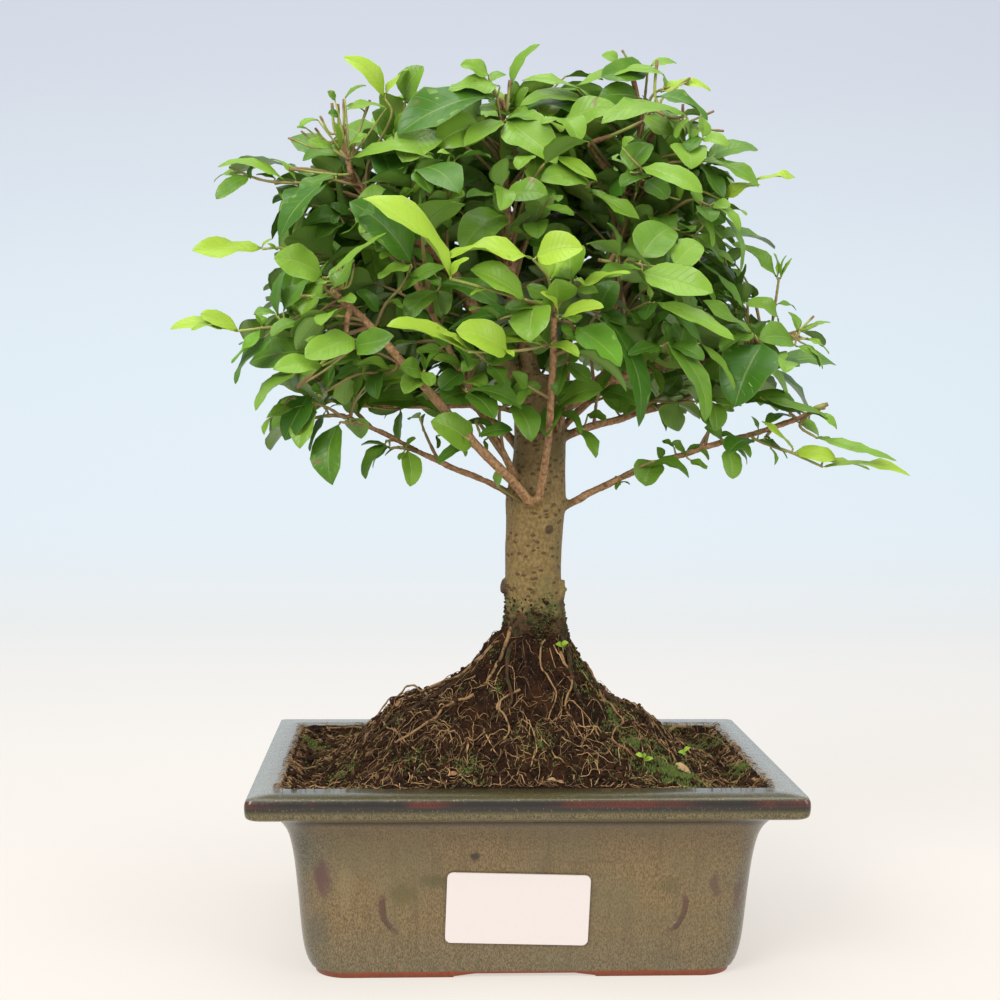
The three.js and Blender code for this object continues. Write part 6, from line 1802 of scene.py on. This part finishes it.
def seen_leaf(draw, foot, tip, openness, slim, tone):
    """A leaf from its foot to its tip, with its upper side turned to the camera as far as openness says."""
    line = unit(tip - foot)
    toward = unit(EYE - foot)
    toward = unit(toward - line * toward.dot(line))
    side = unit(np.cross(line, toward))
    if side[2] < 0:
        side = -side
    length = np.linalg.norm(tip - foot)
    return {
        "base": foot, "line": line, "face": unit(toward * openness + side * math.sqrt(1 - openness**2)),
        "length": length, "half": length * slim * 0.5,
        "arch": draw.uniform(0.03, 0.14), "fold": draw.uniform(0.14, 0.48) * (1 if slim > 0.3 else 0.5),
        "wave": draw.uniform(-0.075, 0.075) * length, "hook": draw.uniform(-0.02, 0.14),
        "bend": draw.uniform(-0.07, 0.07) * (1 if slim > 0.3 else 1.8), "tone": tone,
    }


def make_shoots(crowd):
    """The twigs and leaves that the photograph shows one by one, a piece for each limb and kind."""
    shapes = {}
    draw = np.random.default_rng(7)
    total = 0
    for limb in ("front_post", "front_left", "inner_left", "low_left", "low_right", "side_post"):
        keep_seen(LIMB_ROUTES[limb].samples(40, 0.15, 0.97))
    keep_seen(np.array([at_depth(*spot, BEHIND_CROWN) for spot in OPEN]))
    for number, (limb, share, kind, path, leaves, *spray) in enumerate(SHOOTS):
        shape = shapes.setdefault((limb, kind, *spray), Shape())
        curve = shoot_route(limb, share, path)
        thick = 0.56 if kind == "mature" else 0.5
        add_twig(shape, curve, 1, (thick, 0.38), 6 * len(path) + 4, 0.9 if kind == "young" else 0.45)
        line = curve.samples(80)
        for place, (fx, fy, tx, ty, back, openness, slim, tone) in enumerate(leaves):
            node = nearest(line, fx, fy)
            foot = at_depth(fx, fy, node[1])
            if np.linalg.norm(foot - node) > 0.4:
                middle = (foot + node) / 2 - vec(0, 0, 0.3)
                add_twig(shape, Route([node, middle, foot]), 1, (0.36, 0.28), 6, 0.9)
            tip = at_depth(tx, ty, foot[1] + back)
            # The leaf's tone holds painted shade and light as well as its own colour.
            leaf = seen_leaf(draw, foot, tip, openness, slim, tone)
            add_leaf(shape, leaf, 90000 + number * 20 + place)
            probes = leaf_probes(leaf)
            crowd.add(probes)
            keep_seen(probes)
            total += 1
    for (limb, kind, *spray), shape in shapes.items():
        nodes = [NODES[number - 1] for number in spray]
        name = f"leafy_{nodes[0]}" if nodes else f"shoots_{limb}_{kind}"
        shape.piece(name, [LEAVES[kind], TWIG], f"leaf_{kind}", nodes, creases=True)
    print("leaves placed one by one:", total)


def make_stubs():
    """Short cut-back twigs, brown at the cut."""
    shapes = {}
    for limb, share, path, stubs in STUBS:
        shape = shapes.setdefault(limb, Shape())
        curve = shoot_route(limb, share, path)
        count = 8 * len(path) + 4
        shape.add(*tube(curve.samples(count), taper(1.05, 0.7, count), 8))
        line = curve.samples(60)
        for fx, fy, tx, ty, thick in stubs:
            foot = nearest(line, fx, fy)
            tip = at_depth(tx, ty, foot[1] - 1)
            elbow = at_depth(fx, fy, foot[1] - 0.5) * 0.7 + (foot * 0.7 + tip * 0.3) * 0.3
            radii = taper(thick * 0.48, thick * 0.36, 12)
            radii[-2:] *= (1.25, 1.1)
            stub = Route([foot, elbow, tip])
            points, faces = tube(stub.samples(12), radii, 7)
            tones = np.append(np.repeat(np.where(np.arange(12) > 9, 0.05, 0.8), 7), [0.8, 0])
            shape.add(points, faces, 1, marks=toned(tones))
            keep_seen(stub.samples(5))
    for limb, shape in shapes.items():
        shape.piece(f"cut_stubs_{limb}", [BARK, TWIG], "bark")


def make_sprays(crowd):
    """Each spray of the solids, with its own leaves save those that run into a shoot or hide a seen place."""

    def hidden(leaf):
        return crowd.hides(leaf_probes(leaf)[1:6], OWN_LEAF_CLEARANCE)

    sprays = []
    placed = [number for *_, number in SHOOTS if isinstance(number, int)]
    for index in range(len(SPRAYS)):
        leaves = [] if index + 1 in placed else grown_leaves(index)
        kept = [leaf for leaf in leaves if crowd.room(leaf_probes(leaf), OWN_LEAF_ROOM)]
        clear = [leaf for leaf in kept if not hidden(leaf)]
        spare = sorted(kept or leaves, key=hidden)
        sprays.append((len(leaves), clear if len(clear) > 1 else spare[:1]))
    for _, leaves in sprays:
        for leaf in leaves:
            crowd.add(leaf_probes(leaf))
    for index, (_, leaves) in enumerate(sprays):
        if index + 1 in placed:
            continue
        kind = SPRAYS[index][3]
        shape = Shape()
        last = max(leaf["spot"] for leaf in leaves)
        add_twig(shape, TWIGS[index][0], last, (0.8, 0.34), 12, 0.9 if kind == "young" else 0.4)
        for leaf in leaves:
            add_leaf(shape, leaf, index * 100 + leaf["slot"])
        shape.piece(
            f"leafy_{NODES[index]}", [LEAVES[kind], TWIG], f"leaf_{kind}", [NODES[index]], creases=True
        )
    had, kept = sum(count for count, _ in sprays), sum(len(leaves) for _, leaves in sprays)
    print("leaves that the solids have:", had, "kept:", kept)


def outbound(limb, at, end):
    """Whether a twig from a place on a limb to an end turns neither back nor down too sharply."""
    reach = end - LIMB_ROUTES[limb].point(at)
    size = np.linalg.norm(reach)
    return size > 13 and reach.dot(LIMB_ROUTES[limb].tangent(at)) > -0.1 * size and reach[2] > -0.45 * size


def leaf_out(group, draw, crowd, curve, leafy, kind, turned, seed, shade_dimming=1.0):
    """Sets leaves in pairs along a twig wherever there is room, and says how many."""
    facts = KINDS[kind]
    pairs = 3 if kind == "young" else 4
    added, last = 0, 0
    for slot in range(pairs * 2):
        pair, side = slot // 2, slot % 2
        spot = leafy + (1 - leafy) * (0.12 + 0.86 * pair / (pairs - 1))
        base, along = curve.point(spot), curve.tangent(spot)
        for attempt in range(7):
            length = facts["length"] * draw.uniform(0.62, 1.12) * (1 - 0.05 * attempt)
            turn = pair % 2 * 1.4 + side * math.pi + turned + draw.uniform(-0.6, 0.6)
            splay = (0.6 if pair == pairs - 1 else 1.0) + draw.uniform(-0.25, 0.25)
            leaf = free_leaf(draw, base, along, length, facts["slim"], turn, splay)
            probes = leaf_probes(leaf)
            if not in_crown(probes[3]) or crowd.hides(probes):
                continue
            if crowd.room(probes[1:], LEAF_ROOM):
                break
        else:
            continue
        crowd.add(probes)
        # Painted shade: a twig deep in the crown gets its leaves' tone scaled down.
        leaf["tone"] = draw.random() * shade_dimming
        add_leaf(group, leaf, seed + slot)
        added, last = added + 1, max(last, spot)
    if added:
        add_twig(group, curve, last, (0.62, 0.28))
    return added


def make_fill(crowd):
    """More twigs and leaves between the ones that the solids have, a piece for each limb and kind."""
    draw = np.random.default_rng(20)
    shapes = {}
    total = 0
    for index, (limb, share, tip, kind, *_) in enumerate(SPRAYS):
        for sibling in range(4):
            for _ in range(12):
                at = float(np.clip(share + draw.uniform(-0.16, 0.08), 0.25, 1))
                end = vec(*tip) + draw.uniform(-1, 1, 3) * vec(19, 17, 15)
                if in_crown(end) and outbound(limb, at, end):
                    break
            else:
                continue
            twig_kind = "mature" if kind == "young" or draw.random() < 0.8 else "small"
            if end[2] > 236 and draw.random() < 0.35 or draw.random() < 0.05:
                twig_kind = "young"
            if kind == "small":
                twig_kind = "small"
            curve, leafy = twig_of(limb, at, end, KINDS[twig_kind]["leafy"] + 6)
            if crowd.hides(curve.samples(12, 0.25, 0.95), TWIG_CLEARANCE):
                continue
            group = shapes.setdefault((limb, twig_kind), Shape())
            seed = 50000 + index * 200 + sibling * 20
            total += leaf_out(group, draw, crowd, curve, leafy, twig_kind, sibling, seed)
    for number in range(INNER_TWIGS):
        limb = INNER_LIMBS[number % len(INNER_LIMBS)]
        for _ in range(20):
            at = draw.uniform(0.4, 0.95)
            way = unit(draw.normal(0, 1, 3) * vec(1, 0.7, 0.6) + vec(0, 0.3, 0.15))
            end = LIMB_ROUTES[limb].point(at) + way * draw.uniform(24, 40)
            if in_crown(end) and end[1] > -6 and outbound(limb, at, end):
                break
        else:
            continue
        curve, leafy = twig_of(limb, at, end, 34)
        if crowd.hides(curve.samples(12, 0.25, 0.95), TWIG_CLEARANCE):
            continue
        group = shapes.setdefault((limb, "mature"), Shape())
        # Painted shade: the leaves of these inner twigs take 0.7 of their tone.
        total += leaf_out(group, draw, crowd, curve, leafy, "mature", number, 65000 + number * 20, 0.7)
    for (limb, kind), shape in shapes.items():
        if shape.total:
            shape.piece(f"more_leaves_{limb}_{kind}", [LEAVES[kind], TWIG], f"leaf_{kind}", creases=True)
    print("leaves added between them:", total)


def make_litter():
    """Seedlings in the soil, and the dry leaves that have fallen on it."""
    draw = np.random.default_rng(6)
    plants, litter = Shape(), Shape()
    for number, (pixel, high) in enumerate(SEEDLINGS):
        foot = on_soil(*pixel)
        top = foot + vec(draw.uniform(-1, 1), -0.8, high)
        curve = Route([foot - vec(0, 0, 0.5), (foot + top) / 2 + vec(0.3, 0, 0), top])
        add_twig(plants, curve, 1, (0.22, 0.16), 8, 1)
        for place in range(4):
            turn = place * 1.6 + number
            spot = curve.point(0.7 + 0.3 * (place > 1))
            tip = spot + vec(math.cos(turn) * 2.4, math.sin(turn) * 1.6 - 0.6, 0.9)
            leaf = seen_leaf(draw, spot, tip, 0.75, 0.6, 0.8)
            add_leaf(plants, leaf, 70000 + number * 10 + place)
    for number, (pixel, length, bearing) in enumerate(DRY_LEAVES):
        middle = on_soil(*pixel)
        turn = math.radians(bearing)
        reach = vec(math.cos(turn), math.sin(turn) * 0.7, 0) * length / 2
        ends = []
        for end in (middle - reach, middle + reach):
            ends.append(vec(end[0], end[1], float(surface(end[0], end[1])) + 0.35))
        leaf = seen_leaf(draw, ends[0], ends[1], 0.6, 0.5, draw.random())
        leaf.update(arch=0.1, fold=0.35, hook=0.12)
        add_leaf(litter, leaf, 80000 + number)
    plants.piece("seedlings", [LEAVES["young"], TWIG], "leaf_young", creases=True)
    litter.piece("fallen_leaves", [DRY], "soil", creases=True)


crowd = Crowd()
make_litter()
make_stubs()
make_shoots(crowd)
make_sprays(crowd)
make_fill(crowd)


# Finishes of the solids that stay


for node, material in (("label", PAPER), ("drain_mesh_left", PLASTIC), ("drain_mesh_right", PLASTIC)):
    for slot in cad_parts[node].material_slots:
        slot.material = material


# The stage: floor, light and camera


def make_stage():
    """A floor that rises behind the object, in pale studio tones, glowing with painted light of its own."""
    reach, front, back, bend, top = 1600, -1500, 700, 500, 2600
    turns = np.linspace(0, math.pi / 2, 16)
    side_line = [(front, 0), (back, 0)]
    side_line += [(back + bend * math.sin(t), bend - bend * math.cos(t)) for t in turns[1:]]
    side_line.append((back + bend, top))
    points = [(x, y, z) for y, z in side_line for x in (-reach, reach)]
    faces = [[2 * i, 2 * i + 1, 2 * i + 3, 2 * i + 2] for i in range(len(side_line) - 1)]
    p = Paint("backdrop", Roughness=1, Specular_IOR_Level=0)
    low, middle, high = (0.87, 0.82, 0.76), (0.665, 0.815, 0.93), (0.6, 0.64, 0.735)
    colour = p.mix((p.z + p.y * 0.12).between(-20, 190), low, middle)
    colour = p.mix(p.z.between(160, 620), colour, high)
    # Painted light: the backdrop glows in these tones, besides the lamps' light that falls on it.
    colour.into(p.shader.inputs["Emission Color"])
    p.shader.inputs["Emission Strength"].default_value = 0.7
    colour = p.mix(p.z.between(-100, 900), (0.24, 0.22, 0.2), (0.16, 0.175, 0.2))
    shape = Shape()
    shape.add(points, [np.array(faces)])
    stage = shape.piece("backdrop", [p.done(colour)], None, rides=False)


def lamp(name, at, aim, size, power):
    """A square soft light, placed in metres."""
    light = bpy.data.lights.new(name, "AREA")
    light.shape, light.size, light.energy = "SQUARE", size, power
    holder = bpy.data.objects.new(name, light)
    holder.location = at
    holder.rotation_euler = (Vector(aim) - Vector(at)).to_track_quat("-Z", "Y").to_euler()
    bpy.context.scene.collection.objects.link(holder)


def make_light():
    world = bpy.data.worlds.new("studio")
    bpy.context.scene.world = world
    world.use_nodes = True
    sky = world.node_tree.nodes["Background"]
    sky.inputs["Color"].default_value = (0.92, 0.96, 1.0, 1)
    sky.inputs["Strength"].default_value = 0.62
    lamp("key", (-0.75, -0.9, 0.95), (0, 0, 0.15), 0.7, 17)
    lamp("fill", (0.95, -0.8, 0.55), (0, 0, 0.12), 0.7, 7)
    lamp("top", (0, -0.1, 1.3), (0, 0, 0.2), 0.9, 8)
    lamp("wash", (0, 0.35, 1.6), (0, 1.1, 0.6), 1.2, 5)


def make_camera():
    data = bpy.data.cameras.new("camera")
    data.sensor_width = SENSOR
    data.lens = FOCAL / (2 * VIEW_MIDDLE) * SENSOR
    data.clip_start = 0.02
    camera = bpy.data.objects.new("camera", data)
    place = Matrix.Identity(4)
    for column, axis in enumerate((SIDE, OVER, -AHEAD)):
        for row in range(3):
            place[row][column] = axis[row]
    place.translation = Vector((EYE + MIDDLE) / 1000)
    camera.matrix_world = place
    bpy.context.scene.collection.objects.link(camera)
    bpy.context.scene.camera = camera


make_stage()
make_light()
make_camera()
bpy.context.scene.view_settings.view_transform = "Standard"
